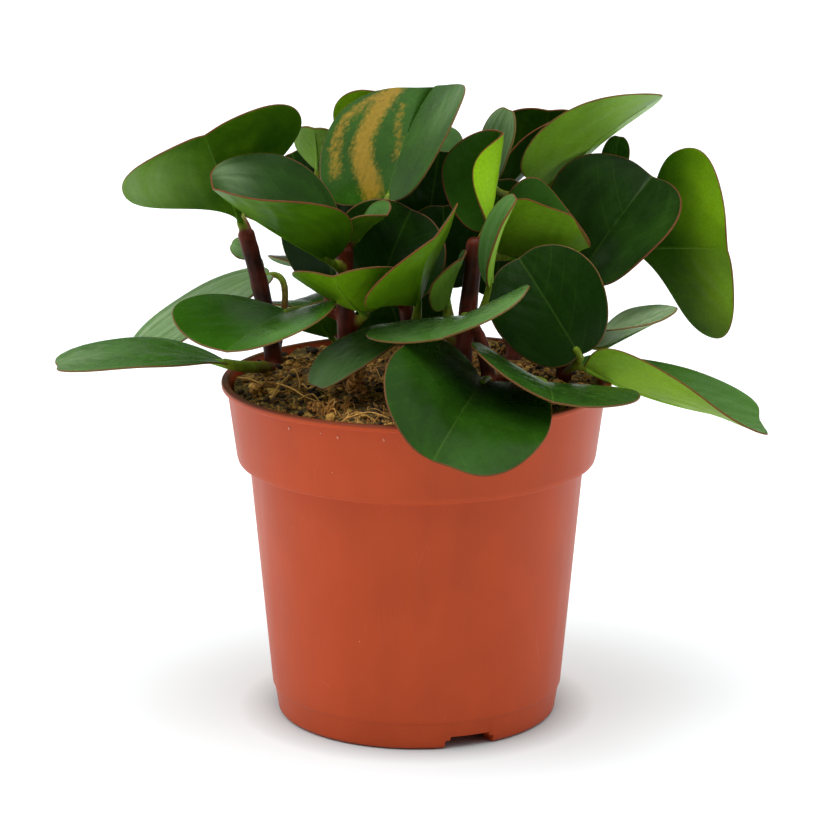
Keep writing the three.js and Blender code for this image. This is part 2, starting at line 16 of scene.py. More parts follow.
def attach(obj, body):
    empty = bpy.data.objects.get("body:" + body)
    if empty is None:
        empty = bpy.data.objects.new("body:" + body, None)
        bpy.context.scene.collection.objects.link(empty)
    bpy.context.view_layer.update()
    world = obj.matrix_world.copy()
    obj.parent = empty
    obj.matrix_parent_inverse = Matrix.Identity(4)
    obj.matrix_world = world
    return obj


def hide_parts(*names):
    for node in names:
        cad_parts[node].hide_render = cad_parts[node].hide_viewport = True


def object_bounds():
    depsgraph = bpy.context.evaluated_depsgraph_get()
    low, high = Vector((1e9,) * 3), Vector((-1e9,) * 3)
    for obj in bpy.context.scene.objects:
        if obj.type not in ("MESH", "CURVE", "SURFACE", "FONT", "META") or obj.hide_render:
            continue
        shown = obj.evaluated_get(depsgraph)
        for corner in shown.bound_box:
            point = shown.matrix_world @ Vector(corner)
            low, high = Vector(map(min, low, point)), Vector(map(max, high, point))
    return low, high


bl_info = {
    "name": "Potted peperomia",
    "version": (1, 0, 0),
    "blender": (4, 5, 0),
    "location": "View3D > Sidebar > Plant",
    "description": "Dresses the packed plant with its leaves, stems, soil and pot",
    "category": "Object",
}

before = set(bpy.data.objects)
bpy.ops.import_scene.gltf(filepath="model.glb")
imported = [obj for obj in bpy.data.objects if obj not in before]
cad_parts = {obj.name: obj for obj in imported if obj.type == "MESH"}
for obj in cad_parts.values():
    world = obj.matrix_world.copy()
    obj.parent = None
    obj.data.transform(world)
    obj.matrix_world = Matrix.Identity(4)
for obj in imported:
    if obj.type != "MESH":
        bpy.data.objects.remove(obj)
CAD_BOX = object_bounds()
MM = 0.001

# Pot
RIM_RADIUS = 60
POT_HEIGHT = 105.5
LIP_HEIGHT = 2.2
LIP_INNER_RADIUS = 57.8
LIP_ROUNDING = 0.6
COLLAR_TOP_RADIUS = 58.3
COLLAR_LOW_RADIUS = 55.5
COLLAR_LOW_HEIGHT = 81.8
BODY_TOP_RADIUS = 51.6
BODY_TOP_HEIGHT = 79.8
BODY_LOW_RADIUS = 45.1
FOOT_STEP_HEIGHT = 8.9
FOOT_STEP = 0.5
FOOT_RADIUS = 43.6
FOOT_ROUNDING = 2.4
FOOT_RING_WIDTH = 3.4
FLOOR_HEIGHT = 4.2
WALL = 1.4
INSIDE_CORNER = 0.4
POT_SIDES = 180
NOTCH_WIDTH = 16
NOTCH_HEIGHT = 3.8
NOTCH_STEP = 1.6
NOTCH_STEP_HEIGHT = 2.6
NOTCH_ANGLES = (-68, 52, 172)
DRAIN_RADIUS = 4
DRAIN_CIRCLE_RADIUS = 25
DRAIN_COUNT = 6

# Soil
SOIL_EDGE_HEIGHT = 103
SOIL_MOUND = 2.4
SOIL_BACK_RISE = 1.4
SOIL_LUMP = 0.5
SOIL_LUMP_ACROSS = 20
SOIL_LUMP_DEEP = 23
SOIL_LUMP_SLANTED = 33
SOIL_LUMP_SHIFT = 4
SOIL_EDGE_SLACK = 0.4
SOIL_SHOULDER = 1.6
LUMP_SIZE = 5
LUMP_HEIGHT = 1.1
BIT_SIZE = 1.6
BIT_HEIGHT = 0.6
SOIL_SIDES = 288
SOIL_RINGS = 96
GAP = 0.3
CRUMB_REACH = 54.5
CRUMB_RADII = (0.5, 0.6, 0.7, 0.8, 1.0, 1.4)
FIBRE_REACH = 53
FIBRE_STEPS = 12

# Seeds of the random draws
CRUMB_SEED = 4
CLUMP_SEED = 23
FIBRE_SEED = 11
BURR_SEED = 31

# Leaves. Rings are shares of the way from the blade's middle to its margin, where the blade
# thins and then rounds off. The midrib spans a share of the blade's length.
BLADE_SPOKES = 96
BLADE_RINGS = np.array(
    [0.1, 0.2, 0.3, 0.4, 0.5, 0.6, 0.7, 0.79, 0.87, 0.93, 0.965, 0.982, 0.993, 1.0]
)
BLADE_MIDDLE = 0.48
BLADE_THINNING = ([0, 0.7, 0.965, 1], [1, 1, 0.6, 0.55])
MARGIN_START = 0.982
FAR_FROM_MARGIN = 50
RIB_SPAN = (0.02, 0.86)
RIB_STEPS = 22
RIB_SIDES = 8
PETIOLE_REACH = 2.5
VEIN_SPACING = 0.19
RIPPLE_FADE = 5

# Places are given as they look from the front viewpoint: how far across and how high a point
# looks in the upright plane through the pot's axis, and how deep it lies behind that plane.
EYE_DISTANCE = 1060
EYE_HEIGHT = 367.5

# Stage. Lengths of the camera's lens and places in millimetres, floor rings in metres
CAMERA_LENS = 153.65
CAMERA_DISTANCE = 1095
CAMERA_RAISED = 14.5
CAMERA_SIDE = -0.18
AIM_HEIGHT = 93.3
FLOOR_GAP = 0.2
FLOOR_RINGS = (0.3, 1, 2.5, 6, 14)
FLOOR_SIDES = 64
# Soft boxes: from where to where a direction's part fades them, and their strength there
ABOVE_BOX = (0.45, 0.85, 0.0, 1.2)
SIDE_BOXES = (0.6, 0.9, 0.0, 0.85)
LEFT_WINDOW = (-0.9, -0.5, 0.5, 0.0)
BEHIND_BOX = (-0.9, 0.2, 0.1, 0.3)
# Key light: strength, spread in degrees, and where it comes from
KEY_STRENGTH = 1.3
KEY_SPREAD = 45
KEY_FROM = (-0.12, -0.22, 1.0)

# Leafy stems, as points from root to top, with their radius
STEMS = {
    "left": (2.8, [(-39, 80, 19), (-43, 106, 21), (-47.5, 133, 20), (-52, 151, 20)]),
    "mid_left": (2.9, [(-19.5, 80, 5), (-19.8, 102, 4), (-21.7, 126, -3), (-22, 146, -5)]),
    "middle": (2.4, [(-3, 80, 4), (-3, 102, 6), (-3, 127, 14), (-8, 148, 16)]),
    "mid_right": (2.9, [(12.5, 80, -6), (12.8, 101, -6), (14.5, 115, -6), (17.9, 148, -6)]),
    "front": (2.3, [(23, 80, -14), (22.8, 99, -14), (21, 112, -15), (19, 119, -14)]),
    "right": (2.5, [(44, 80, 2), (45, 103, 1), (46.5, 122, 1), (46, 135, 2)]),
    "back_right": (2.6, [(28, 86, 24), (29, 108, 28), (36, 134, 40), (41, 161, 45)]),
    "back_left": (2.6, [(-22, 88, 34), (-22, 110, 36), (-27, 137, 44), (-30, 161, 50)]),
    "back": (2.5, [(3, 88, 40), (3, 112, 40), (1, 140, 40), (-2, 162, 40)]),
}


def leaf(name, **given):
    """One row of the leaf table, with the usual values where it names none."""
    row = {"egg": 0.06, "heart": 0.12, "notch": 0.03, "open": 0.35, "twist": 0}
    row.update(sharp=(0, 0), acute=(0, 0), petiole=1.6 if given["width"] > 34 else 1.2)
    return {**row, **given, "name": name}


# Leaves. base and tip are the ends of the midrib, faces is the way that the upper side looks,
# bow lifts the middle of the midrib, and fold and curl turn the left and right half up from it,
# in degrees. leaves_at says where on its stem the petiole starts. egg makes the outline wider
# towards the tip, heart gives the base lobes or a wedge, and sharp and acute make a half, or its
# outer end, more pointed.
LEAVES = [
    leaf("upper_left", stem="left", leaves_at=0.98, base=(-53, 153, 20), tip=(-64.5, 181.5, -10),
         faces=(-0.34, 0.62, 0.68), width=61, bow=3, fold=(13, 10), curl=(8, 10), heart=-0.32,
         sharp=(1.2, 1.2), acute=(-1, -0.5)),
    leaf("cup_left", stem="mid_left", leaves_at=0.8, base=(-26, 142, -10), tip=(-63, 165.5, -24),
         faces=(0.45, 1, 0), width=54, bow=-1, fold=(58, 56), curl=(5, 18), open=0.8, heart=0.1),
    leaf("broad_left", stem="left", leaves_at=0.36, base=(-45, 138, 34), tip=(-89, 111, 24),
         faces=(-0.35, 1, -0.3), width=27, bow=2, fold=(6, 6), curl=(-5, -5)),
    leaf("small_left", stem="left", leaves_at=0.7, base=(-49, 144, 27), tip=(-56.5, 147.5, 28),
         faces=(-0.3, 0.5, -0.8), width=7, bow=1, fold=(6, 6), curl=(8, 8)),
    leaf("long_left", stem="left", leaves_at=0.3, base=(-57, 109.5, 0), tip=(-112.2, 108.5, -10),
         faces=(-0.1, 1, -0.1), width=38, bow=4, fold=(14, 6), curl=(-12, -15), heart=-0.2, petiole=2),
    leaf("oval_front_left", stem="mid_left", leaves_at=0.6, base=(-39, 126.3, -8), tip=(-59, 113, -48),
         faces=(-0.1, 1, -0.3), width=52, bow=1, fold=(18, 10), curl=(10, 10)),
    leaf("shade_left", stem="back_left", leaves_at=0.55, base=(-25, 134, 29), tip=(-28.5, 165, 31),
         faces=(-0.3, 0.5, -0.8), width=29, bow=2, fold=(5, 5), curl=(5, 5)),
    leaf("cup_middle", stem="mid_left", leaves_at=0.55, base=(-15.5, 125.8, -9.5), tip=(-26, 138, -41),
         faces=(0, 0.9, 0.45), width=37, bow=-2, fold=(18, 20), curl=(20, 20)),
    leaf("dark_middle", stem="middle", leaves_at=0.66, base=(-11, 133, 6), tip=(-1, 159, 4),
         faces=(-0.1, 0.6, -0.8), width=37, bow=2, fold=(8, 8), curl=(8, 8)),
    leaf("bright_middle", stem="middle", leaves_at=0.45, base=(0.4, 128, -10), tip=(6, 150, -44),
         faces=(-0.76, 0.56, 0.35), width=42, bow=2, fold=(10, 10), curl=(10, 10), heart=-0.4),
    leaf("young_middle", stem="mid_left", leaves_at=0.97, base=(-18.5, 148.5, -1), tip=(-8.5, 156.5, -9),
         faces=(-0.5, 1, 0.1), width=19, bow=1, fold=(25, 25), curl=(20, 20)),
    leaf("variegated", stem="middle", leaves_at=0.98, base=(-9, 160, 9), tip=(6, 196.4, 42),
         faces=(-0.46, 0.7, -0.53), width=60, bow=3, fold=(2, 22), curl=(5, 12), open=0.12,
         sharp=(-0.5, -0.15), acute=(0.1, 1.8)),
    leaf("crown_left", stem="back", leaves_at=0.98, base=(-12, 172, 66), tip=(-12.5, 195, 54),
         faces=(0, 0.6, 0.75), width=28, bow=2, fold=(8, 8), curl=(8, 8)),
    leaf("crown_pale", stem="back_left", leaves_at=0.98, base=(-30, 170, 53), tip=(-31, 183.5, 46),
         faces=(0.2, 0.6, 0.6), width=16, bow=1, fold=(10, 10), curl=(10, 10), heart=-0.2),
    leaf("crown_dark", stem="back_left", leaves_at=0.8, base=(-32, 163, 60), tip=(-38, 176, 60),
         faces=(-0.2, 0.4, -1), width=14, bow=1, fold=(6, 6), curl=(6, 6)),
    leaf("dark_crown", stem="back", leaves_at=0.8, base=(3, 150, 32), tip=(7, 177, 34),
         faces=(0, 0.3, -1), width=28, bow=2, fold=(6, 6), curl=(6, 6)),
    leaf("folded_upright", stem="mid_right", leaves_at=0.98, base=(20.6, 151, 1), tip=(25.4, 183.2, 9),
         faces=(-0.1, 0.2, -1), width=32, bow=-2, fold=(8, 58), curl=(10, 112), egg=0.1, open=0,
         sharp=(0.3, 0)),
    leaf("pale_upright", stem="back_right", leaves_at=0.95, base=(22.5, 168, 22), tip=(28, 189.5, 18),
         faces=(-0.5, 0.3, -1), width=12, bow=1, fold=(15, 15), curl=(15, 15)),
    leaf("narrow_bright", stem="mid_right", leaves_at=0.6, base=(22.3, 135, -13), tip=(30.8, 162.5, -20),
         faces=(-0.95, 0.35, -0.3), width=13, bow=2, fold=(30, 20), curl=(20, 20)),
    leaf("olive_low", stem="mid_right", leaves_at=0.4, base=(9, 127.5, -9.5), tip=(14.5, 143.5, -17),
         faces=(-0.7, 0.5, 0.2), width=20, bow=1, fold=(15, 15), curl=(10, 10)),
    leaf("dark_low", stem="mid_right", leaves_at=0.55, base=(9, 134, 20), tip=(8, 160, 26),
         faces=(0, 0.5, -0.9), width=26, bow=2, fold=(6, 6), curl=(6, 6)),
    leaf("crown_right_back", stem="back_right", leaves_at=0.97, base=(38, 170, 62), tip=(40, 189, 52),
         faces=(0, 0.6, 0.75), width=30, bow=2, fold=(8, 8), curl=(8, 8)),
    leaf("crown_right", stem="back_right", leaves_at=0.9, base=(25.5, 163.5, 50), tip=(54, 187.5, 42),
         faces=(-0.5, 0.7, 0.5), width=24, bow=2, fold=(8, 8), curl=(8, 8)),
    leaf("pointed_right", stem="back_right", leaves_at=0.9, base=(40.5, 165.5, 40), tip=(74.2, 193.2, 32),
         faces=(-0.5, 0.7, 0.5), width=42, bow=2, fold=(12, 12), curl=(15, 15), egg=-0.2, heart=0.2,
         sharp=(0, -0.3), acute=(0.7, 0.7), notch=0),
    leaf("small_right", stem="back_right", leaves_at=0.6, base=(59, 168, 52), tip=(61.3, 181, 52),
         faces=(0, 0.3, -1), width=9, bow=1, fold=(6, 6), curl=(6, 6)),
    leaf("round_right", stem="back_right", leaves_at=0.5, base=(51.2, 139.3, 28), tip=(72.2, 169.2, 34),
         faces=(-0.15, 0.35, -0.9), width=48, bow=3, fold=(4, 40), curl=(8, 20)),
    leaf("far_right", stem="back_right", leaves_at=0.7, base=(63.5, 146, 50), tip=(95.6, 145.3, 16),
         faces=(0.68, 0.1, 0.73), width=61, bow=3, fold=(6, 6), curl=(6, 6), heart=-0.35, egg=0.25,
         sharp=(0.6, -0.1)),
    leaf("cup_right", stem="mid_right", leaves_at=0.8, base=(25.5, 143.6, 16), tip=(53.8, 147, 10),
         faces=(-0.1, 1, 0), width=48, bow=-1.6, fold=(76, 57), curl=(8, 8), open=0.1,
         heart=0.3, egg=-0.25, acute=(0.6, -0.8)),
    leaf("dark_round", stem="right", leaves_at=0.45, base=(50, 112.5, -11), tip=(30.5, 144, -1),
         faces=(0.1, 0.2, -1), width=36, bow=2, fold=(6, 6), curl=(6, 6)),
    leaf("pale_right", stem="right", leaves_at=0.6, base=(56.5, 114.8, 8), tip=(80.3, 127.2, 0),
         faces=(-0.2, 1, -0.12), width=28, bow=0, fold=(16, 45), curl=(4, 4), open=1, egg=-0.3,
         acute=(0.6, 0.6)),
    leaf("long_right", stem="right", leaves_at=0.3, base=(51, 108.8, -8), tip=(107.7, 91.8, 8),
         faces=(0.2, 1, 0), width=34, bow=-3, fold=(24, 60), curl=(5, 5), open=0.75, twist=26, egg=0,
         sharp=(0.4, -0.3), acute=(-0.55, -0.35)),
    leaf("folded_front", stem="front", leaves_at=0.4, base=(39, 104, -22), tip=(42, 97.2, -62),
         faces=(0.3, 1, -0.03), width=54, bow=1, fold=(10, 12), curl=(10, 10)),
    leaf("heart_front", stem="front", leaves_at=0.35, base=(20.4, 104, -29), tip=(4.4, 77.4, -78),
         faces=(0.35, 1, -0.3), width=53, bow=4, fold=(14, 19), curl=(5, 5), heart=0.5, egg=0.07,
         acute=(-0.4, 0.2)),
    leaf("flat_front", stem="front", leaves_at=0.8, base=(15, 125, -16), tip=(7.2, 117.2, -50),
         faces=(-0.3, 1, -0.25), width=52, bow=1, fold=(14, 4), curl=(5, 5), heart=0.3,
         sharp=(-0.45, 0)),
    leaf("drooping_front", stem="middle", leaves_at=0.4, base=(0, 121, -12), tip=(-31.5, 101.5, -32),
         faces=(-0.2, 1, -0.1), width=25, bow=4, fold=(6, 6), curl=(-5, -5)),
    leaf("back_high", stem="back", leaves_at=0.8, base=(4, 153, 54), tip=(0, 159, 79),
         faces=(0, 0.7, 0.7), width=38, bow=3, fold=(8, 8), curl=(8, 8)),
    leaf("back_top", stem="back", leaves_at=0.98, base=(8, 171, 57), tip=(5, 184, 76),
         faces=(0, 0.8, 0.5), width=16, bow=1, fold=(15, 15), curl=(10, 10)),
    leaf("back_middle", stem="back", leaves_at=0.5, base=(3, 143, 50), tip=(0, 144, 77),
         faces=(0.1, 0.9, 0.4), width=38, bow=2, fold=(6, 6), curl=(6, 6)),
    leaf("back_left_high", stem="back_left", leaves_at=0.8, base=(-36, 152.5, 54), tip=(-47, 158, 77),
         faces=(-0.3, 0.8, 0.5), width=38, bow=3, fold=(6, 6), curl=(8, 8)),
    leaf("back_left_low", stem="back_left", leaves_at=0.4, base=(-30, 128, 48), tip=(-44, 125, 76),
         faces=(-0.3, 0.9, 0.4), width=34, bow=3, fold=(6, 6), curl=(5, 5)),
    leaf("back_right_low", stem="back_right", leaves_at=0.35, base=(35, 128, 42), tip=(39, 126, 76),
         faces=(0.2, 0.9, 0.4), width=32, bow=3, fold=(6, 6), curl=(5, 5)),
    leaf("back_right_high", stem="back_right", leaves_at=0.75, base=(50, 152, 54), tip=(64, 154, 74),
         faces=(0.3, 0.8, 0.5), width=36, bow=3, fold=(8, 8), curl=(8, 8)),
    leaf("left_back", stem="left", leaves_at=0.9, base=(-57, 160, 34), tip=(-74, 166, 62),
         faces=(-0.4, 0.8, 0.45), width=36, bow=3, fold=(6, 6), curl=(6, 6)),
    leaf("back_left_middle", stem="back_left", leaves_at=0.6, base=(-27, 140, 52), tip=(-31, 140, 78),
         faces=(-0.15, 0.9, 0.4), width=34, bow=3, fold=(8, 8), curl=(6, 6)),
    leaf("back_right_middle", stem="back_right", leaves_at=0.6, base=(36, 144, 52), tip=(43, 143, 77),
         faces=(0.15, 0.9, 0.4), width=31, bow=3, fold=(8, 8), curl=(6, 6)),
    leaf("low_left", stem="back_left", leaves_at=0.35, base=(-26, 118, 25), tip=(-34.5, 128, 15),
         faces=(0, 0.7, 0.6), width=22, bow=1, fold=(8, 8), curl=(6, 6), heart=-0.2),
    leaf("low_middle", stem="back", leaves_at=0.35, base=(-4, 117, 28), tip=(-9, 132, 27),
         faces=(0, 0.3, -1), width=33, bow=1, fold=(6, 6), curl=(6, 6)),
    leaf("shade_right", stem="back_right", leaves_at=0.35, base=(25, 132, 40), tip=(24.5, 168.5, 43),
         faces=(0, 0.3, -1), width=24, bow=1, fold=(6, 6), curl=(6, 6), sharp=(-0.2, -0.2)),
]

# How each leaf looks: its age, from 0, old and dark, to 1, young and yellow-green, how red its
# margin is, and how pale the painted gloss on its upper side is, a pale painted reflection of the
# bright surroundings. Low ages also paint the shade a leaf lies in: the leaves in SHADED are given
# the darkest green as painted shade.
USUAL_LOOK = (0.3, 0.6, 0.03)
SHADED = (
    "shade_left", "shade_right", "low_left", "low_middle", "dark_crown", "dark_low", "dark_round",
)
LOOKS = {
    **dict.fromkeys(SHADED, (0, 0.5, 0)),
    "upper_left": (0.08, 0.7, 0),
    "cup_left": (0.15, 0.9, 0),
    "broad_left": (0.65, 0.6, 0.72),
    "long_left": (0.5, 0.6, 0.05),
    "small_left": (0.9, 0.4, 0.5),
    "oval_front_left": (0.45, 0.6, 0),
    "cup_middle": (0.35, 0.7, 0),
    "dark_middle": (0, 0.6, 0),
    "bright_middle": (0.3, 0.9, 0),
    "young_middle": (0.6, 0.6, 0.1),
    "variegated": (0.3, 0.6, 0),
    "crown_left": (0.7, 0.7, 0),
    "crown_pale": (0.6, 0.4, 0.4),
    "crown_dark": (0, 0.4, 0),
    "folded_upright": (0.25, 1, 0),
    "pale_upright": (0.7, 0.4, 0.7),
    "narrow_bright": (0.9, 0.8, 0.3),
    "olive_low": (0.5, 0.7, 0.2),
    "crown_right": (0, 0.8, 0),
    "crown_right_back": (0.05, 0.8, 0),
    "pointed_right": (0.45, 0.7, 0.1),
    "small_right": (0.3, 0.5, 0),
    "round_right": (0.05, 0.9, 0.02),
    "far_right": (0.02, 0.8, 0),
    "cup_right": (0.45, 1, 0.05),
    "pale_right": (0.7, 0.4, 1),
    "long_right": (0.7, 0.9, 0.14),
    "folded_front": (0.2, 0.7, 0.02),
    "heart_front": (0.12, 0.8, 0),
    "flat_front": (0.6, 0.6, 0.2),
    "drooping_front": (0.25, 0.6, 0.1),
}

# Places on the flat blade where light and shade are painted: across and along in millimetres,
# radius, and what is added to its age, which paints it lighter or, below nought, darker, and to its
# painted gloss. They paint the light that shines through far_right, the shade in the middle of
# heart_front, and pale reflections on the others
PAINTED_LIGHT_PATCHES = {
    "upper_left": [(24, 26, 14, 0.4, 0.5)],
    # Painted light shining through the leaf
    "far_right": [(14, 42, 17, 0.75, 0), (-17, 40, 13, 0.65, 0)],
    "pointed_right": [(0, 46, 15, 0.6, 0.85)],
    # Painted shade in the middle of the leaf, and a lighter painted patch
    "heart_front": [(0, 2, 15, -0.4, 0), (-8, 44, 14, 0.2, 0)],
    "cup_left": [(12, 40, 8, 0.1, 0.5)],
    "long_left": [(0, 50, 14, 0.1, 0.35)],
    "drooping_front": [(0, 34, 9, 0.3, 0.5)],
    "variegated": [(22, 30, 12, 0.2, 0.3)],
    "flat_front": [(-18, 24, 12, 0.2, 0.2)],
    "oval_front_left": [(-16, 34, 9, 0.4, 0.2)],
    "folded_upright": [(13, 8, 12, 0.6, 0.05), (13, 24, 12, 0.45, 0)],
}

# How far, in millimetres, a blade bulges between its side veins, and how far its margin waves
USUAL_RIPPLE = (0.1, 0.25)
RIPPLES = {
    "long_left": (0.7, 0.2),
    "broad_left": (0.15, 0.3),
    "cup_left": (0.18, 0.3),
    "pale_right": (0.2, 0.3),
    "long_right": (0.2, 0.4),
    "heart_front": (0.08, 0.35),
    "round_right": (0.12, 0.3),
}

# Stripes of the striped leaf, each as a line on the flat blade with its half width
STRIPES = [
    ([(-14, 46), (-15, 39), (-15.4, 30), (-15.6, 23), (-13, 15), (-9, 9), (-5.4, 3)], 3.0),
    ([(-17, 44), (-22, 38), (-25, 33), (-25.7, 26), (-24.6, 20), (-21, 10)], 1.1),
    ([(-7, 38), (-5.8, 30), (-2, 22), (-1, 15)], 0.1),
]


# Numbers and colours


def linear(code):
    """The linear colour of an sRGB hex value."""
    parts = [int(code[i : i + 2], 16) / 255 for i in (0, 2, 4)]
    return (*(p / 12.92 if p <= 0.04045 else ((p + 0.055) / 1.055) ** 2.4 for p in parts), 1.0)


def per(size):
    """Texture scale, in metres, for a pattern that repeats at this size in millimetres."""
    return 1 / (size * MM)


def place(point):
    """The place in millimetres of a point given as it looks from the front viewpoint."""
    across, up, depth = point
    spread = 1 + depth / EYE_DISTANCE
    return np.array([across * spread, depth, EYE_HEIGHT + (up - EYE_HEIGHT) * spread])


def unit(vector):
    return vector / np.linalg.norm(vector)


def colour(name, description, code):
    return bpy.props.FloatVectorProperty(
        name=name, description=description, subtype="COLOR", size=4, min=0, max=1,
        default=linear(code),
    )


# Settings


class PottedPlantSettings(bpy.types.PropertyGroup):
    """Sizes and colours of the plant and its pot"""

    blade_thickness: bpy.props.FloatProperty(
        name="Blade thickness", description="Thickness of a leaf blade", subtype="DISTANCE",
        unit="LENGTH", default=1.1 * MM, min=0.6 * MM, max=2 * MM,
    )
    margin_width: bpy.props.FloatProperty(
        name="Margin width", description="Width of the reddish line round a leaf",
        subtype="DISTANCE", unit="LENGTH", default=0.28 * MM, min=0, max=2 * MM,
    )
    leaf_roughness: bpy.props.FloatProperty(
        name="Leaf roughness", description="Roughness of the waxy upper side",
        subtype="FACTOR", default=0.27, min=0, max=1,
    )
    pot_roughness: bpy.props.FloatProperty(
        name="Pot roughness", description="Roughness of the moulded pot",
        subtype="FACTOR", default=0.42, min=0, max=1,
    )
    crumb_count: bpy.props.IntProperty(
        name="Crumbs", description="Loose crumbs on the soil", default=980, min=0, max=2000,
    )
    fibre_count: bpy.props.IntProperty(
        name="Fibres", description="Plant fibres on the soil", default=340, min=0, max=1000,
    )
    upper_old: colour("Upper side, old", "Upper side of an old leaf", "152F07")
    upper_young: colour("Upper side, young", "Upper side of a young leaf", "3E7414")
    under_old: colour("Underside, old", "Underside of an old leaf", "2C5406")
    under_young: colour("Underside, young", "Underside of a young leaf", "8CBC14")
    # Painted reflection: a pale colour laid over the upper side where it would mirror the bright
    # surroundings
    painted_gloss: colour("Bloom", "Pale waxy bloom on the upper side", "8FA67E")
    vein: colour("Veins", "Midrib and side veins", "6E9438")
    margin: colour("Margin", "Reddish line round a leaf", "6E3222")
    margin_pale: colour("Margin, pale", "Line round a leaf that isn't red", "6A6038")
    stripe: colour("Stripe", "Yellow stripes of the striped leaf", "957722")
    stem: colour("Stem", "Ripe stem skin", "2C120A")
    stalk: colour("Stalk", "Leaf stalk near the stem", "5C2414")
    stalk_end: colour("Stalk end", "Leaf stalk near the blade", "6E8220")
    pot: colour("Pot", "Coloured plastic of the pot", "AE431D")
    peat: colour("Peat", "Moist potting soil", "463318")
    moss: colour("Moss", "Bits of moss in the soil", "7C6630")
    fibre: colour("Fibre", "Dry plant fibres", "A87030")
    floor: colour("Floor", "Pale floor under the plant", "CCD2D4")


# Materials


def node(tree, kind, inputs=None, stops=None, **settings):
    """Adds a node with its settings, and sets or links its inputs. A node given as a value
    stands for its first output, and stops are the places and colours of a colour ramp."""
    made = tree.nodes.new(kind)
    for key, value in settings.items():
        setattr(made, key, value)
    if stops:
        ramp = made.color_ramp.elements
        ramp.remove(ramp[-1])
        ramp[0].position, ramp[0].color = stops[0]
        for place_in_ramp, value in stops[1:]:
            ramp.new(place_in_ramp).color = value
    for key, value in (inputs or {}).items():
        if isinstance(value, bpy.types.Node):
            value = value.outputs[0]
        if isinstance(value, bpy.types.NodeSocket):
            tree.links.new(value, made.inputs[key])
        else:
            made.inputs[key].default_value = value
    return made


def maths(tree, operation, *values, **settings):
    """A math node on two or three values, each a number, a node or a socket."""
    return node(tree, "ShaderNodeMath", dict(enumerate(values)), operation=operation, **settings)


def fade(tree, value, start, end, low, high, **settings):
    """Runs from low to high while the value runs from start to end."""
    inputs = dict(enumerate((value, start, end, low, high)))
    return node(tree, "ShaderNodeMapRange", inputs, **settings)


def mixed(tree, share, first, second, **settings):
    """The first colour with this share of the second."""
    colours = {"Fac": share, "Color1": first, "Color2": second}
    return node(tree, "ShaderNodeMixRGB", colours, **settings)


def noise_texture(tree, where, scale, detail, **inputs):
    inputs = {"Vector": where, "Scale": scale, "Detail": detail, **inputs}
    return node(tree, "ShaderNodeTexNoise", inputs)


def new_material(name):
    """An empty material, its node tree, and its object coordinates."""
    material = bpy.data.materials.new(name)
    material.use_nodes = True
    tree = material.node_tree
    tree.nodes.clear()
    return material, tree, node(tree, "ShaderNodeTexCoord").outputs["Object"]


def finish_material(material, shader):
    node(material.node_tree, "ShaderNodeOutputMaterial", {"Surface": shader})
    return material


# A living leaf under a thick waxy cuticle, grown smooth: a deep green with soft broad gloss, partly
# a pale painted reflection, and faint pleats from base to tip that break the gloss up, barely paler
# sunken veins, and a thin reddish line where the cuticle wraps round the margin.
def waxy_leaf(name, settings, underside=False, striped=False):
    material, tree, where = new_material(name)
    flat = node(tree, "ShaderNodeAttribute", attribute_name="flat")
    parts = node(tree, "ShaderNodeSeparateXYZ", {0: flat.outputs["Vector"]})
    look = node(tree, "ShaderNodeAttribute", attribute_name="look")
    looks = node(tree, "ShaderNodeSeparateXYZ", {0: look.outputs["Vector"]})
    cloud = noise_texture(tree, where, per(14), 2.0)
    grain = noise_texture(tree, where, per(0.9), 3.0)
    swell = noise_texture(tree, where, per(7), 2.0)
    pleat = pleats(tree, parts.outputs["Y"])
    body = leaf_green(tree, settings, underside, looks, (cloud, grain, pleat))
    if striped:
        body = stripes(tree, settings, parts, body)
    ribs = leaf_ribs(tree, parts.outputs["X"], cloud, 0.04 if underside else 0.06)
    body = mixed(tree, ribs, body, settings.vein)
    body = leaf_margin(tree, settings, looks.outputs["Y"], parts.outputs["Z"], swell, body)
    rough = settings.leaf_roughness + (0.14 if underside else 0.0)
    rough = fade(tree, swell, 0.3, 0.7, rough - 0.06, rough + 0.07)
    height = maths(tree, "MULTIPLY_ADD", ribs, -0.5, swell)
    height = maths(tree, "MULTIPLY_ADD", pleat, 0.8, height)
    height = maths(tree, "MULTIPLY_ADD", grain, 0.06, height)
    bump = node(tree, "ShaderNodeBump", {"Height": height, "Strength": 0.22, "Distance": 0.5 * MM})
    skin = node(
        tree, "ShaderNodeBsdfPrincipled",
        {
            "Base Color": body, "Roughness": rough, "Normal": bump, "IOR": 1.45,
            "Specular IOR Level": 0.05 if underside else 0.09,
            "Subsurface Weight": 0.35 if underside else 0.12, "Subsurface Radius": (0.7, 1.0, 0.1),
            "Subsurface Scale": 1.4 * MM,
        },
    )
    return finish_material(material, skin)


def leaf_green(tree, settings, underside, looks, patterns):
    """Green from old to young, finely flecked, under a painted gloss, a pale painted reflection broken into
    streaks.
    """
    cloud, grain, pleat = patterns
    drift = maths(tree, "MULTIPLY_ADD", cloud, 0.45, looks.outputs["X"])
    drift = maths(tree, "MULTIPLY_ADD", pleat, 0.2, drift)
    age = maths(tree, "SUBTRACT", drift, 0.325, use_clamp=True)
    old = settings.under_old if underside else settings.upper_old
    young = settings.under_young if underside else settings.upper_young
    body = mixed(tree, age, old, young)
    fleck = fade(tree, grain, 0.35, 0.75, 0.9, 1.12)
    body = mixed(tree, 1.0, body, fleck, blend_type="MULTIPLY")
    # Painted reflection, broken into streaks by the pleats
    streak = fade(tree, pleat, 0.35, 0.65, 0.45, 1.0)
    painted_gloss = maths(tree, "MULTIPLY", looks.outputs["Z"], streak, use_clamp=True)
    return mixed(tree, painted_gloss, body, settings.painted_gloss)


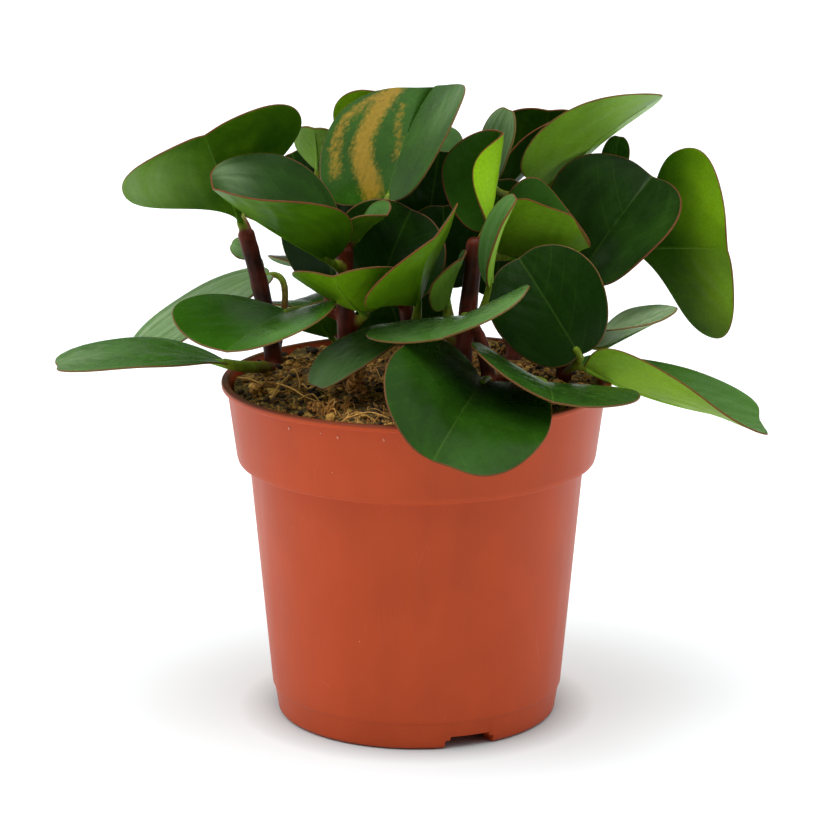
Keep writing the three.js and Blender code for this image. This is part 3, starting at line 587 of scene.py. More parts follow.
def leaf_ribs(tree, across, cloud, share):
    """How much the midrib and, by this share and only in places, the side veins show."""
    vein = node(tree, "ShaderNodeAttribute", attribute_name="vein").outputs["Fac"]
    side = maths(tree, "PINGPONG", vein, 0.5)
    side = fade(tree, side, 0.0, 0.06, 1.0, 0.0, interpolation_type="SMOOTHSTEP")
    fading = fade(tree, cloud, 0.42, 0.62, 0.0, 1.0)
    side = maths(tree, "MULTIPLY", side, fading)
    off = maths(tree, "ABSOLUTE", across)
    middle = fade(tree, off, 0.1, 0.55, 1.0, 0.0, interpolation_type="SMOOTHSTEP")
    ribs = maths(tree, "MULTIPLY", side, share)
    return maths(tree, "MULTIPLY_ADD", middle, 0.12, ribs, use_clamp=True)


def leaf_margin(tree, settings, flush, inset, swell, body):
    """The body's colour with a thin uneven line along the margin, red where the leaf is flushed."""
    ragged = maths(tree, "MULTIPLY_ADD", swell, 0.5, inset)
    width = settings.margin_width / MM
    edge = fade(tree, ragged, width + 0.12, width + 0.42, 0.9, 0.0, interpolation_type="SMOOTHSTEP")
    flushed = mixed(tree, flush, settings.margin_pale, settings.margin)
    return mixed(tree, edge, body, flushed)


def pleats(tree, along):
    """Faint folds that run from base to tip, closer together at both ends."""
    band = node(tree, "ShaderNodeAttribute", attribute_name="band").outputs["Fac"]
    own = node(tree, "ShaderNodeAttribute", attribute_name="own").outputs["Fac"]
    across = maths(tree, "MULTIPLY", band, 13.0)
    slowly = maths(tree, "MULTIPLY", along, 0.03)
    apart = maths(tree, "MULTIPLY", own, 60.0)
    drawn = node(tree, "ShaderNodeCombineXYZ", {0: across, 1: slowly, 2: apart})
    return noise_texture(tree, drawn, 1.0, 3.0)


def stripes(tree, settings, parts, body):
    """Yellow stripes with feathered edges, where the stripe attribute is below nought."""
    edge = node(tree, "ShaderNodeAttribute", attribute_name="stripe").outputs["Fac"]
    across = maths(tree, "MULTIPLY", parts.outputs["X"], 0.9)
    along = maths(tree, "MULTIPLY", parts.outputs["Y"], 0.55)
    drawn = node(tree, "ShaderNodeCombineXYZ", {0: across, 1: along})
    feather = noise_texture(tree, drawn, 0.9, 6.0, Roughness=0.7)
    edge = maths(tree, "MULTIPLY_ADD", feather, 7.0, edge)
    share = fade(tree, edge, 2.4, 5.0, 0.85, 0.0)
    tint = fade(tree, feather, 0.3, 0.7, 1.1, 0.75)
    yellow = mixed(tree, 1.0, settings.stripe, tint, blend_type="MULTIPLY")
    return mixed(tree, share, body, yellow)


# A living stem under a smooth fleshy skin: dark red-brown, orange-red where it is thinner, and
# green where the stalk runs into the blade, with faint streaks along it and a satin gloss.
def stem_skin(settings):
    material, tree, where = new_material("fleshy stem, smooth living skin")
    toward = node(tree, "ShaderNodeAttribute", attribute_name="toward").outputs["Fac"]
    drawn = node(tree, "ShaderNodeMapping", {"Vector": where, "Scale": (1, 1, 0.12)})
    streak = noise_texture(tree, drawn, per(1.1), 3.0)
    blot = noise_texture(tree, where, per(3.5), 2.0)
    shift = maths(tree, "SUBTRACT", blot, 0.5)
    toward = maths(tree, "MULTIPLY_ADD", shift, 0.3, toward)
    ripe = node(
        tree, "ShaderNodeValToRGB", {0: toward},
        stops=(
            (0.0, settings.stem), (0.25, settings.stalk), (0.5, settings.stalk),
            (0.8, settings.stalk_end),
        ),
    )
    fleck = fade(tree, streak, 0.3, 0.7, 0.72, 1.25)
    body = mixed(tree, 1.0, ripe, fleck, blend_type="MULTIPLY")
    bump = node(tree, "ShaderNodeBump", {"Height": streak, "Strength": 0.3, "Distance": 0.3 * MM})
    skin = node(
        tree, "ShaderNodeBsdfPrincipled",
        {
            "Base Color": body, "Roughness": 0.42, "Normal": bump, "IOR": 1.45, "Specular IOR Level": 0.15,
            "Subsurface Weight": 0.08, "Subsurface Radius": (1.0, 0.3, 0.1), "Subsurface Scale": 1.0 * MM,
        },
    )
    return finish_material(material, skin)


# Polypropylene, injection moulded in a polished mould: an even satin terracotta red with faint
# flow streaks down the wall, handling scratches, a few pale specks of dried lime, and painted
# shade along the top of the rim, under the leaves.
def moulded_plastic(settings):
    material, tree, where = new_material("polypropylene, injection moulded")
    drawn = node(tree, "ShaderNodeMapping", {"Vector": where, "Scale": (1, 1, 0.06)})
    flow = noise_texture(tree, drawn, per(7), 3.0)
    cloud = noise_texture(tree, where, per(22), 2.0)
    skin = noise_texture(tree, where, per(0.8), 2.0)
    tone = maths(tree, "MULTIPLY_ADD", flow, 0.6, cloud)
    tone = fade(tree, tone, 0.55, 1.05, 0.93, 1.07)
    body = mixed(tree, 1.0, settings.pot, tone, blend_type="MULTIPLY")
    spots = node(tree, "ShaderNodeTexVoronoi", {"Vector": where, "Scale": per(9), "Randomness": 1.0})
    rarely = noise_texture(tree, where, per(12), 1.0)
    size = fade(tree, rarely, 0.5, 0.75, 0.0, 0.07)
    spot = maths(tree, "LESS_THAN", spots, size)
    spot = maths(tree, "MULTIPLY", spot, 0.4)
    lime = linear("E2B49C")
    body = mixed(tree, spot, body, lime)
    slanted = node(
        tree, "ShaderNodeMapping",
        {"Vector": where, "Rotation": (0.2, 0.5, 0.9), "Scale": (1, 1, 0.05)},
    )
    scratch = node(
        tree, "ShaderNodeTexVoronoi", {"Vector": slanted, "Scale": per(4)}, feature="DISTANCE_TO_EDGE"
    )
    scratch = fade(tree, scratch, 0.0, 0.012, 1.0, 0.0)
    worn = fade(tree, rarely, 0.52, 0.7, 0.0, 0.05)
    scratch = maths(tree, "MULTIPLY", scratch, worn)
    body = mixed(tree, scratch, body, lime)
    # Painted shade: the top of the rim darkened to a dark brown, where the leaves hang over it
    height_of = node(tree, "ShaderNodeSeparateXYZ", {0: where}).outputs["Z"]
    painted_rim_shade = fade(tree, height_of, 104.4 * MM, 105.3 * MM, 0.0, 0.7, interpolation_type="SMOOTHSTEP")
    body = mixed(tree, painted_rim_shade, body, linear("4A2A1C"))
    rough = settings.pot_roughness
    rough = fade(tree, flow, 0.3, 0.7, rough - 0.04, rough + 0.06)
    height = maths(tree, "MULTIPLY_ADD", flow, 1.5, skin)
    bump = node(tree, "ShaderNodeBump", {"Height": height, "Strength": 0.12, "Distance": 0.25 * MM})
    plastic = node(
        tree, "ShaderNodeBsdfPrincipled",
        {
            "Base Color": body, "Roughness": rough, "Normal": bump, "IOR": 1.49, "Specular IOR Level": 0.16,
            "Subsurface Weight": 0.08, "Subsurface Radius": (1.0, 0.4, 0.2), "Subsurface Scale": 1.5 * MM,
        },
    )
    return finish_material(material, plastic)


# Polypropylene, torn thin at the mould's gate: paler and duller than the smooth wall.
def torn_plastic():
    material, tree, where = new_material("polypropylene, torn thin")
    grain = noise_texture(tree, where, per(0.5), 2.0)
    body = mixed(tree, grain, linear("B8583A"), linear("DC9478"))
    bump = node(tree, "ShaderNodeBump", {"Height": grain, "Strength": 0.5, "Distance": 0.15 * MM})
    torn = node(tree, "ShaderNodeBsdfPrincipled", {"Base Color": body, "Roughness": 0.6, "Normal": bump})
    return finish_material(material, torn)


# Peat, dug, milled and moist: nearly black-brown, matt and crumbly, with golden bits of moss.
def moist_peat(settings):
    material, tree, where = new_material("peat, milled and moist")
    crumb = noise_texture(tree, where, per(2.0), 6.0, Roughness=0.68)
    moss = noise_texture(tree, where, per(5), 5.0, Roughness=0.65)
    dark = node(
        tree, "ShaderNodeValToRGB", {0: crumb},
        stops=(
            (0.4, linear("120A05")), (0.48, settings.peat), (0.53, linear("94692C")),
            (0.6, linear("D0A050")),
        ),
    )
    share = fade(tree, moss, 0.44, 0.56, 0.0, 0.55)
    body = mixed(tree, share, dark, settings.moss)
    bump = node(tree, "ShaderNodeBump", {"Height": crumb, "Strength": 1.0, "Distance": 1.4 * MM})
    soil = node(tree, "ShaderNodeBsdfPrincipled", {"Base Color": body, "Roughness": 0.9, "Normal": bump})
    return finish_material(material, soil)


def grained(name, grain, stops, bump, finish, grain_share=None):
    """A material whose colour, from the stops of a ramp, and bumps follow one noise, the grain.
    With a share for the grain, the tone of each bit is added to it."""
    material, tree, where = new_material(name)
    speck = node(tree, "ShaderNodeTexNoise", {"Vector": where, **grain})
    shade = speck
    if grain_share:
        tone = node(tree, "ShaderNodeAttribute", attribute_name="tone").outputs["Fac"]
        shade = maths(tree, "MULTIPLY_ADD", speck, grain_share, tone)
    body = node(tree, "ShaderNodeValToRGB", {0: shade}, stops=stops)
    raised = node(tree, "ShaderNodeBump", {"Height": speck, **bump})
    skin = node(
        tree, "ShaderNodeBsdfPrincipled", {"Base Color": body, "Normal": raised, **finish}
    )
    return finish_material(material, skin)


# Peat crumbs, broken loose: most of them dark and moist, some dried to gold.
def loose_crumb():
    return grained(
        "peat crumb, broken loose",
        {"Scale": per(0.8), "Detail": 4.0},
        (
            (0.25, linear("150C06")), (0.55, linear("4A3014")), (0.8, linear("A87830")),
            (1.0, linear("D8A450")),
        ),
        {"Strength": 1.0, "Distance": 0.5 * MM}, {"Roughness": 0.85}, grain_share=0.5,
    )


# Bark and wood bits, dried and clumped: golden-brown grains with dark gaps between them, which are painted
# shade.
def golden_clump():
    return grained(
        "bark bits, dried",
        {"Scale": per(1.4), "Detail": 5.0, "Roughness": 0.65},
        ((0.36, linear("3A200C")), (0.47, linear("A0662A")), (0.58, linear("DCA252"))),
        {"Strength": 1.0, "Distance": 0.8 * MM}, {"Roughness": 0.85},
    )


# Plant fibres, dried: thin golden-brown threads, some darker, with a dull straw-like sheen.
def dry_fibre(settings):
    return grained(
        "plant fibre, dried",
        {"Scale": per(0.7), "Detail": 2.0},
        ((0.1, linear("5A3A16")), (0.55, settings.fibre), (0.95, linear("E2AC60"))),
        {"Strength": 0.5, "Distance": 0.2 * MM},
        {"Roughness": 0.75, "Specular IOR Level": 0.25}, grain_share=0.3,
    )


# Painted board, rolled: plain pale and matt, with a very faint unevenness, and a painted glow
# away from the pot: none under the pot and little beside it, which paints the pot's shadow.
def pale_floor(settings):
    material, tree, where = new_material("painted board, rolled matt")
    cloud = noise_texture(tree, where, per(400), 2.0)
    tone = fade(tree, cloud, 0.3, 0.7, 0.985, 1.0)
    body = mixed(tree, 1.0, settings.floor, tone, blend_type="MULTIPLY")
    # Painted light: the floor glows away from the pot; the dark ring close to the pot is a painted contact
    # shadow
    away = node(tree, "ShaderNodeVectorMath", {0: where}, operation="LENGTH").outputs["Value"]
    painted_shadow_edge = fade(tree, away, 42 * MM, 56 * MM, 0.0, 0.3)
    painted_floor_light = fade(tree, away, 50 * MM, 230 * MM, 0.0, 0.2, interpolation_type="SMOOTHSTEP")
    painted_floor_light = maths(tree, "ADD", painted_floor_light, painted_shadow_edge)
    paint = node(
        tree, "ShaderNodeBsdfPrincipled",
        {
            "Base Color": body, "Roughness": 0.9, "Specular IOR Level": 0.1,
            "Emission Color": (1, 1, 1, 1), "Emission Strength": painted_floor_light,
        },
    )
    return finish_material(material, paint)


# Meshes


def build(name, points, faces, materials, replaced=(), skins=None, attributes=None):
    """A piece that rides on the plant, from points in millimetres. skins is a material index
    for each face, and attributes holds a value or a vector for each point."""
    mesh = bpy.data.meshes.new(name)
    mesh.from_pydata((np.asarray(points) * MM).tolist(), [], [list(face) for face in faces])
    for material in materials:
        mesh.materials.append(material)
    if skins is not None:
        mesh.polygons.foreach_set("material_index", skins)
    mesh.polygons.foreach_set("use_smooth", [True] * len(mesh.polygons))
    set_attributes(mesh, attributes or {})
    mesh.update()
    made = bpy.data.objects.new(name, mesh)
    bpy.context.scene.collection.objects.link(made)
    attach(made, "root")
    if replaced:
        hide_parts(*replaced)
    return made


def set_attributes(mesh, attributes):
    for key, values in attributes.items():
        values = np.asarray(values, np.float32)
        kind, field = ("FLOAT_VECTOR", "vector") if values.ndim == 2 else ("FLOAT", "value")
        mesh.attributes.new(key, kind, "POINT").data.foreach_set(field, values.ravel())


def merged(parts):
    """One list of points and one of faces from several."""
    points, faces, start = [], [], 0
    for some, more in parts:
        points.append(np.asarray(some))
        faces.extend([tuple(i + start for i in face) for face in more])
        start += len(some)
    return np.concatenate(points), faces


def circle(radius, sides, height):
    """Points once round the pot's axis."""
    turns = [2 * math.pi * i / sides for i in range(sides)]
    return [(radius * math.cos(turn), radius * math.sin(turn), height) for turn in turns]


def disc_faces(sides, rings):
    """Faces of a disc whose points are its middle and then its rings, from the inside out."""
    faces = [(0, 1 + i, 1 + (i + 1) % sides) for i in range(sides)]
    for ring in range(rings - 1):
        for i in range(sides):
            a, b = 1 + ring * sides + i, 1 + ring * sides + (i + 1) % sides
            faces.append((a, a + sides, b + sides, b))
    return faces


def point_normals(points, faces):
    """A normal for each point, from the faces round it."""
    normals = np.zeros((len(points), 3))
    for face in faces:
        a, b, c = (points[k] for k in face[:3])
        normal = np.cross(b - a, c - a)
        for k in face:
            normals[k] += normal
    return normals / np.linalg.norm(normals, axis=1)[:, None]


def tube(path, radii, sides):
    """A closed tube along a path, with a rounded cap at each end."""
    path = np.asarray(path, float)
    radii = np.asarray(radii, float)
    ways = np.gradient(path, axis=0)
    ways /= np.linalg.norm(ways, axis=1)[:, None]
    first, last = path[0] - ways[0] * radii[0] * 0.5, path[-1] + ways[-1] * radii[-1] * 0.5
    path = np.vstack([first, path, last])
    ways = np.vstack([ways[0], ways, ways[-1]])
    radii = np.concatenate([[radii[0] * 0.6], radii, [radii[-1] * 0.6]])
    across = unit(np.cross(ways[0], (0.31, 0.92, 0.24)))
    rings = []
    for point, way, radius in zip(path, ways, radii):
        across = unit(across - way * across.dot(way))
        other = np.cross(way, across)
        turn = 2 * np.pi * np.arange(sides) / sides
        rings.append(point + radius * (np.outer(np.cos(turn), across) + np.outer(np.sin(turn), other)))
    points = np.concatenate(rings)
    faces = []
    for ring in range(len(path) - 1):
        for i in range(sides):
            a, b = ring * sides + i, ring * sides + (i + 1) % sides
            faces.append((a, b, b + sides, a + sides))
    faces.append(tuple(reversed(range(sides))))
    faces.append(tuple(range(len(points) - sides, len(points))))
    return points, faces


def filleted(corners, steps=4):
    """The points of a closed profile whose corners, given with a radius each, are rounded."""
    points = []
    for i, (x, y, radius) in enumerate(corners):
        here = np.array([x, y], float)
        for other, way in ((corners[i - 1], 0), (corners[(i + 1) % len(corners)], 1)):
            span = np.array(other[:2], float) - here
            step = span / np.linalg.norm(span) * min(radius, np.linalg.norm(span) * 0.45)
            if way == 0:
                before = here + step
            else:
                after = here + step
        if radius == 0:
            points.append(here)
            continue
        for t in np.linspace(0, 1, steps + 1):
            points.append((1 - t) ** 2 * before + 2 * t * (1 - t) * here + t * t * after)
    return points


def catmull(points, t):
    """The point at t, from 0 to 1, of the centripetal curve through these points."""
    points = [np.asarray(point, float) for point in points]
    spans = len(points) - 1
    i = min(int(t * spans), spans - 1)
    w = t * spans - i
    p1, p2 = points[i], points[i + 1]
    p0 = points[i - 1] if i > 0 else 2 * points[0] - points[1]
    p3 = points[i + 2] if i + 2 <= spans else 2 * points[-1] - points[-2]
    d0, d1, d2 = (np.linalg.norm(b - a) ** 0.5 for a, b in ((p0, p1), (p1, p2), (p2, p3)))
    m1 = d1 * ((p1 - p0) / d0 - (p2 - p0) / (d0 + d1) + (p2 - p1) / d1)
    m2 = d1 * ((p2 - p1) / d1 - (p3 - p1) / (d1 + d2) + (p3 - p2) / d2)
    return (
        p1 + m1 * w + (3 * (p2 - p1) - 2 * m1 - m2) * w**2 + (2 * (p1 - p2) + m1 + m2) * w**3
    )


# Leaf forms


def outline(turn, length, half, row):
    """Across and along places of the flat blade's edge, once round from the base."""
    side, ahead = np.sin(turn), np.cos(turn)
    lobe = row["heart"] * np.abs(side) * np.maximum(0, ahead) ** 2
    dent = row["notch"] * np.maximum(0, -ahead) ** 40
    sharp = 1 + np.where(side < 0, row["sharp"][0], row["sharp"][1])
    sharp = sharp + np.where(ahead < 0, np.where(side < 0, row["acute"][0], row["acute"][1]), 0)
    across = half * np.sign(side) * np.abs(side) ** sharp * (1 - row["egg"] * ahead)
    return across, length * ((1 - ahead) / 2 - lobe - dent)


def leaf_looks(row, across, along):
    """Age, with its painted light and shade, redness of the margin and painted gloss at places on the flat
    blade.
    """
    age, flush, painted_gloss = LOOKS.get(row["name"], USUAL_LOOK)
    looks = np.tile([age, flush, painted_gloss], (len(across), 1)).astype(float)
    for x, y, radius, painted_lightness, paler in PAINTED_LIGHT_PATCHES.get(row["name"], ()):
        # Painted light and shade, and painted reflection, in patches
        near = np.exp(-((across - x) ** 2 + (along - y) ** 2) / radius**2)
        looks[:, 0] += painted_lightness * near
        looks[:, 2] += paler * near
    return np.clip(looks, 0, 1)


def stripe_distance(across, along):
    """Distance from places on the flat blade to the edge of the nearest stripe."""
    places = np.stack([across, along], 1)
    nearest = np.full(len(places), 50.0)
    for line, half_width in STRIPES:
        for start, end in zip(line, line[1:]):
            start, end = np.array(start, float), np.array(end, float)
            span = end - start
            share = np.clip((places - start) @ span / span.dot(span), 0, 1)
            gap = np.linalg.norm(places - start - share[:, None] * span, axis=1) - half_width
            nearest = np.minimum(nearest, gap)
    return nearest


def leaf_frame(row):
    base = place(row["base"])
    chord = place(row["tip"]) - base
    ahead = unit(chord)
    across, up, depth = row["faces"]
    faces = unit(np.array([across, depth, up], float))
    above = unit(faces - ahead * faces.dot(ahead))
    return base, np.linalg.norm(chord), ahead, above, np.cross(ahead, above)


def turned_about(vector, axis, angle):
    """A vector turned about an axis at right angles to it, for an array of angles."""
    return np.cos(angle)[..., None] * vector + np.sin(angle)[..., None] * np.cross(axis, vector)


def bend(row, across, along):
    """Places on the bent blade for places on the flat one."""
    base, reach, ahead, above, right = leaf_frame(row)
    half = row["width"] / 2
    t = along / reach
    rise = 4 * row["bow"] * t * (1 - t)
    slope = np.arctan2(4 * row["bow"] * (1 - 2 * t), reach)
    opening = 1 - row["open"] * t
    twist = np.radians(row["twist"]) * t
    above, right = (turned_about(way, ahead, twist) for way in (above, right))
    left = across < 0
    fold = np.radians(np.where(left, row["fold"][0], row["fold"][1])) * opening
    curl = np.radians(np.where(left, row["curl"][0], row["curl"][1]))
    curl = np.where(np.abs(curl) < 1e-4, 1e-4, curl)
    outward = np.abs(across) / half
    spread = half / curl * (np.sin(fold + curl * outward) - np.sin(fold))
    lift = half / curl * (np.cos(fold) - np.cos(fold + curl * outward))
    return (
        base
        + ahead * (along - lift * np.sin(slope))[..., None]
        + above * (rise + lift * np.cos(slope))[..., None]
        + right * (spread * np.sign(across))[..., None]
    )


def side_veins(across, along):
    """How many side veins lie below a place, given as shares of half the width and the length."""
    share = np.abs(across)
    return (along - 0.42 * share - 0.25 * share**2) / VEIN_SPACING


def rippled(row, across, along, inset, vein):
    """How far the blade rises between its side veins and waves at its margin."""
    share = np.abs(across)
    bulges, waves = RIPPLES.get(row["name"], USUAL_RIPPLE)
    phase = 2.4 * LEAVES.index(row) + np.sign(across)
    ripple = -bulges * np.cos(2 * np.pi * vein) * np.clip(4 * share * (1 - share), 0, 1)
    ripple *= np.clip(inset / RIPPLE_FADE, 0, 1)
    to_ends = np.clip(4 * along * (1 - along), 0, 1)
    return ripple + waves * share**2 * to_ends * np.sin(9 * along + phase)


def midrib(row, across, along, normals, thickness):
    """The midrib's tube on the underside, with how far along the blade each point lies."""
    _, reach, _, _, _ = leaf_frame(row)
    share = np.linspace(*RIB_SPAN, RIB_STEPS)
    path = bend(row, np.zeros(RIB_STEPS), share * reach)
    nearest = np.abs(along[:, None] - share * reach) + 9 * np.abs(across[:, None])
    radii = np.interp(share, [0, 0.15, RIB_SPAN[1]], [row["petiole"] * 0.75, 0.62, 0.22])
    path = path - normals[nearest.argmin(0)] * (thickness / 2 - 0.25 * radii[:, None])
    points, faces = tube(path, radii, RIB_SIDES)
    places = np.repeat(share * reach, RIB_SIDES)
    return points, faces, np.concatenate([places[:RIB_SIDES], places, places[-RIB_SIDES:]])


def blade(row, materials, thickness):
    """A leaf blade: a bent sheet thickened to both sides, rounded at its margin, with the
    midrib standing out underneath."""
    _, reach, _, _, _ = leaf_frame(row)
    half = row["width"] / 2
    turn = 2 * np.pi * np.arange(BLADE_SPOKES) / BLADE_SPOKES
    edge_across, edge_along = outline(turn, reach, half, row)
    edge_across = np.where(np.abs(edge_across) < 1e-3, 0, edge_across)
    middle = BLADE_MIDDLE * reach
    rings = BLADE_RINGS[:, None]
    across = np.concatenate([[0], (rings * edge_across).ravel()])
    along = np.concatenate([[middle], (middle + rings * (edge_along - middle)).ravel()])
    radius = np.hypot(edge_across, edge_along - middle)
    inset = np.concatenate([[radius.max()], ((1 - rings) * radius).ravel()])
    ring_of = np.concatenate([[0], np.repeat(BLADE_RINGS, BLADE_SPOKES)])
    sheet = bend(row, across, along)
    count = len(sheet)
    faces = disc_faces(BLADE_SPOKES, len(BLADE_RINGS))
    normals = point_normals(sheet, faces)
    vein = side_veins(across / half, along / reach)
    sheet = sheet + normals * rippled(row, across / half, along / reach, inset, vein)[:, None]
    thinned = np.interp(ring_of, *BLADE_THINNING) * thickness / 2
    to_margin = np.clip((ring_of - MARGIN_START) / (1 - MARGIN_START), 0, 1)
    bulge = np.sqrt(1 - to_margin**2) * thinned
    upper = sheet + normals * bulge[:, None]
    inner = count - BLADE_SPOKES
    lower = sheet[:inner] - normals[:inner] * bulge[:inner, None]
    under = [tuple(reversed([k + count if k < inner else k for k in face])) for face in faces]
    rib, rib_faces, rib_along = midrib(
        row, across[:inner], along[:inner], normals[:inner], thickness
    )
    points, all_faces = merged([(np.vstack([upper, lower]), faces + under), (rib, rib_faces)])
    points = np.clip(points, np.array(CAD_BOX[0]) / MM, np.array(CAD_BOX[1]) / MM)
    flat = np.stack([across, along, inset], 1)
    rib_across, rib_inset = np.zeros_like(rib_along), np.full_like(rib_along, FAR_FROM_MARGIN)
    rib_flat = np.stack([rib_across, rib_along, rib_inset], 1)
    band = 0.5 + 0.5 * across / (half * np.sqrt(np.maximum(1 - (2 * along / reach - 1) ** 2, 0.08)))
    rib_like = np.full_like(rib_along, 0.5)
    lists = {
        "flat": np.vstack([flat, flat[:inner], rib_flat]),
        "vein": np.concatenate([vein, vein[:inner], rib_like]),
        "band": np.concatenate([band, band[:inner], rib_like]),
    }
    places = lists["flat"]
    lists["look"] = leaf_looks(row, places[:, 0], places[:, 1])
    lists["own"] = np.full(len(points), LEAVES.index(row) / len(LEAVES))
    if row["name"] == "variegated":
        lists["stripe"] = stripe_distance(places[:, 0], places[:, 1])
    skins = [0] * len(faces) + [1] * (len(under) + len(rib_faces))
    name, node_name = "blade_" + row["name"], "leaf_" + row["name"]
    return build(name, points, all_faces, materials, [node_name], skins, lists)


# Stems


def stem_path(name, count):
    _, points = STEMS[name]
    points = [place(point) for point in points]
    return np.array([catmull(points, t) for t in np.linspace(0, 1, count)])


def stalk_path(row, count):
    points = [place(point) for point in STEMS[row["stem"]][1]]
    start = catmull(points, row["leaves_at"])
    base, reach, ahead, above, _ = leaf_frame(row)
    slope = math.atan2(4 * row["bow"], reach)
    arrival = ahead * math.cos(slope) + above * math.sin(slope)
    pull = 0.4 * np.linalg.norm(start - base)
    control = [start, start + (0, 0, 0.8 * pull), base - arrival * pull, base + arrival * PETIOLE_REACH]
    t = np.linspace(0, 1, count)[:, None]
    return sum(
        share * point
        for share, point in zip(
            ((1 - t) ** 3, 3 * t * (1 - t) ** 2, 3 * t**2 * (1 - t), t**3), control
        )
    )


def shoot(name, material):
    """A stem fused with its leaf stalks, swollen where they leave it."""
    radius, _ = STEMS[name]
    rows = [row for row in LEAVES if row["stem"] == name]
    along = np.linspace(0, 1, 60)
    path = stem_path(name, 60)
    radii = radius * np.interp(along, [0, 0.5, 1], [1.04, 1.0, 0.9])
    for row in rows:
        radii += 0.07 * radius * np.exp(-(((along - row["leaves_at"]) / 0.035) ** 2))
    parts = [tube(path, radii, 18)]
    samples, values = [path], [np.zeros(60)]
    for row in rows:
        stalk = stalk_path(row, 40)
        t = np.linspace(0, 1, 40)
        shape = np.interp(t, [0, 0.12, 0.3, 0.8, 1], [1.25, 1.15, 1.0, 0.95, 0.8])
        parts.append(tube(stalk, row["petiole"] * shape, 14))
        samples.append(stalk)
        values.append(0.12 + 0.88 * t)
    points, faces = merged(parts)
    made = build(f"shoot_{name}", points, faces, [material], [f"stem_{name}"])
    fuse = made.modifiers.new("fuse", "REMESH")
    fuse.mode, fuse.voxel_size, fuse.use_smooth_shade = "VOXEL", 0.5 * MM, True
    ease = made.modifiers.new("ease", "SMOOTH")
    ease.factor, ease.iterations = 0.5, 5
    apply_modifiers(made)
    places = np.zeros(len(made.data.vertices) * 3)
    made.data.vertices.foreach_get("co", places)
    places = places.reshape(-1, 3) / MM
    samples, values = np.concatenate(samples), np.concatenate(values)
    toward = np.empty(len(places))
    for start in range(0, len(places), 4000):
        some = places[start : start + 4000]
        distance = ((some[:, None] - samples[None]) ** 2).sum(2)
        weight = 1 / (distance + 0.3) ** 3
        toward[start : start + 4000] = (weight * values).sum(1) / weight.sum(1)
    set_attributes(made.data, {"toward": toward})
    return made


def apply_modifiers(made):
    """Puts the result of an object's modifiers into its mesh."""
    graph = bpy.context.evaluated_depsgraph_get()
    graph.update()
    mesh = bpy.data.meshes.new_from_object(made.evaluated_get(graph))
    old = made.data
    made.modifiers.clear()
    made.data = mesh
    bpy.data.meshes.remove(old)
    mesh.name = made.name


# Pot and soil


def pot_profile():
    """Radius and height of the wall's closed outline, each corner with its rounding."""
    lip_bottom = POT_HEIGHT - LIP_HEIGHT
    ring_inner = FOOT_RADIUS - FOOT_RING_WIDTH - FOOT_ROUNDING
    return filleted(
        [
            (FOOT_RADIUS - 0.3, 0, 1.6),
            (FOOT_RADIUS, 2.6, 0.8),
            (BODY_LOW_RADIUS - FOOT_STEP, FOOT_STEP_HEIGHT - FOOT_STEP, 0.3),
            (BODY_LOW_RADIUS, FOOT_STEP_HEIGHT, 0.4),
            (BODY_TOP_RADIUS, BODY_TOP_HEIGHT, 0.7),
            (COLLAR_LOW_RADIUS - 0.5, COLLAR_LOW_HEIGHT - 1.2, 0.4),
            (COLLAR_LOW_RADIUS, COLLAR_LOW_HEIGHT + 0.4, 0.6),
            (COLLAR_TOP_RADIUS, lip_bottom, 0.3),
            (RIM_RADIUS, lip_bottom + 0.3, 0.6),
            (RIM_RADIUS, POT_HEIGHT, 0.7),
            (LIP_INNER_RADIUS, POT_HEIGHT, 0.7),
            (COLLAR_TOP_RADIUS - WALL, lip_bottom, 0.6),
            (COLLAR_LOW_RADIUS - WALL, COLLAR_LOW_HEIGHT + 1.2, 0.8),
            (BODY_TOP_RADIUS - WALL, BODY_TOP_HEIGHT + LIP_ROUNDING, 0.8),
            (BODY_LOW_RADIUS - WALL, FOOT_STEP_HEIGHT, 0),
            (BODY_LOW_RADIUS - WALL - INSIDE_CORNER, FLOOR_HEIGHT + WALL, 0.8),
            (0, FLOOR_HEIGHT + WALL, 0),
            (0, FLOOR_HEIGHT, 0),
            (ring_inner, FLOOR_HEIGHT, 0.4),
            (ring_inner, 0, 0.4),
        ]
    )


def lathe(profile, angles):
    """A closed profile turned once round the pot's axis, at these angles in radians."""
    count = len(profile)
    points = np.array([[r * math.cos(a), r * math.sin(a), z] for a in angles for r, z in profile])
    faces = []
    for column in range(len(angles)):
        after = (column + 1) % len(angles)
        for i in range(count):
            j = (i + 1) % count
            faces.append((column * count + i, after * count + i, after * count + j, column * count + j))
    return points, faces


def turned(angle, other):
    """How far one angle is turned from another, from -180 to 180 degrees."""
    return (angle - other + 180) % 360 - 180


def pot_angles(half, step):
    """Angles in degrees of the wall's columns, with a close pair at each edge of a notch."""
    bounds = (-half, step - half, half - step, half)
    edges = [middle + at + way for middle in NOTCH_ANGLES for at in bounds for way in (-0.2, 0.2)]
    even = [360 * i / POT_SIDES for i in range(POT_SIDES)]
    kept = [angle for angle in even if all(abs(turned(angle, edge)) > 0.7 for edge in edges)]
    return sorted(kept + [edge % 360 for edge in edges])


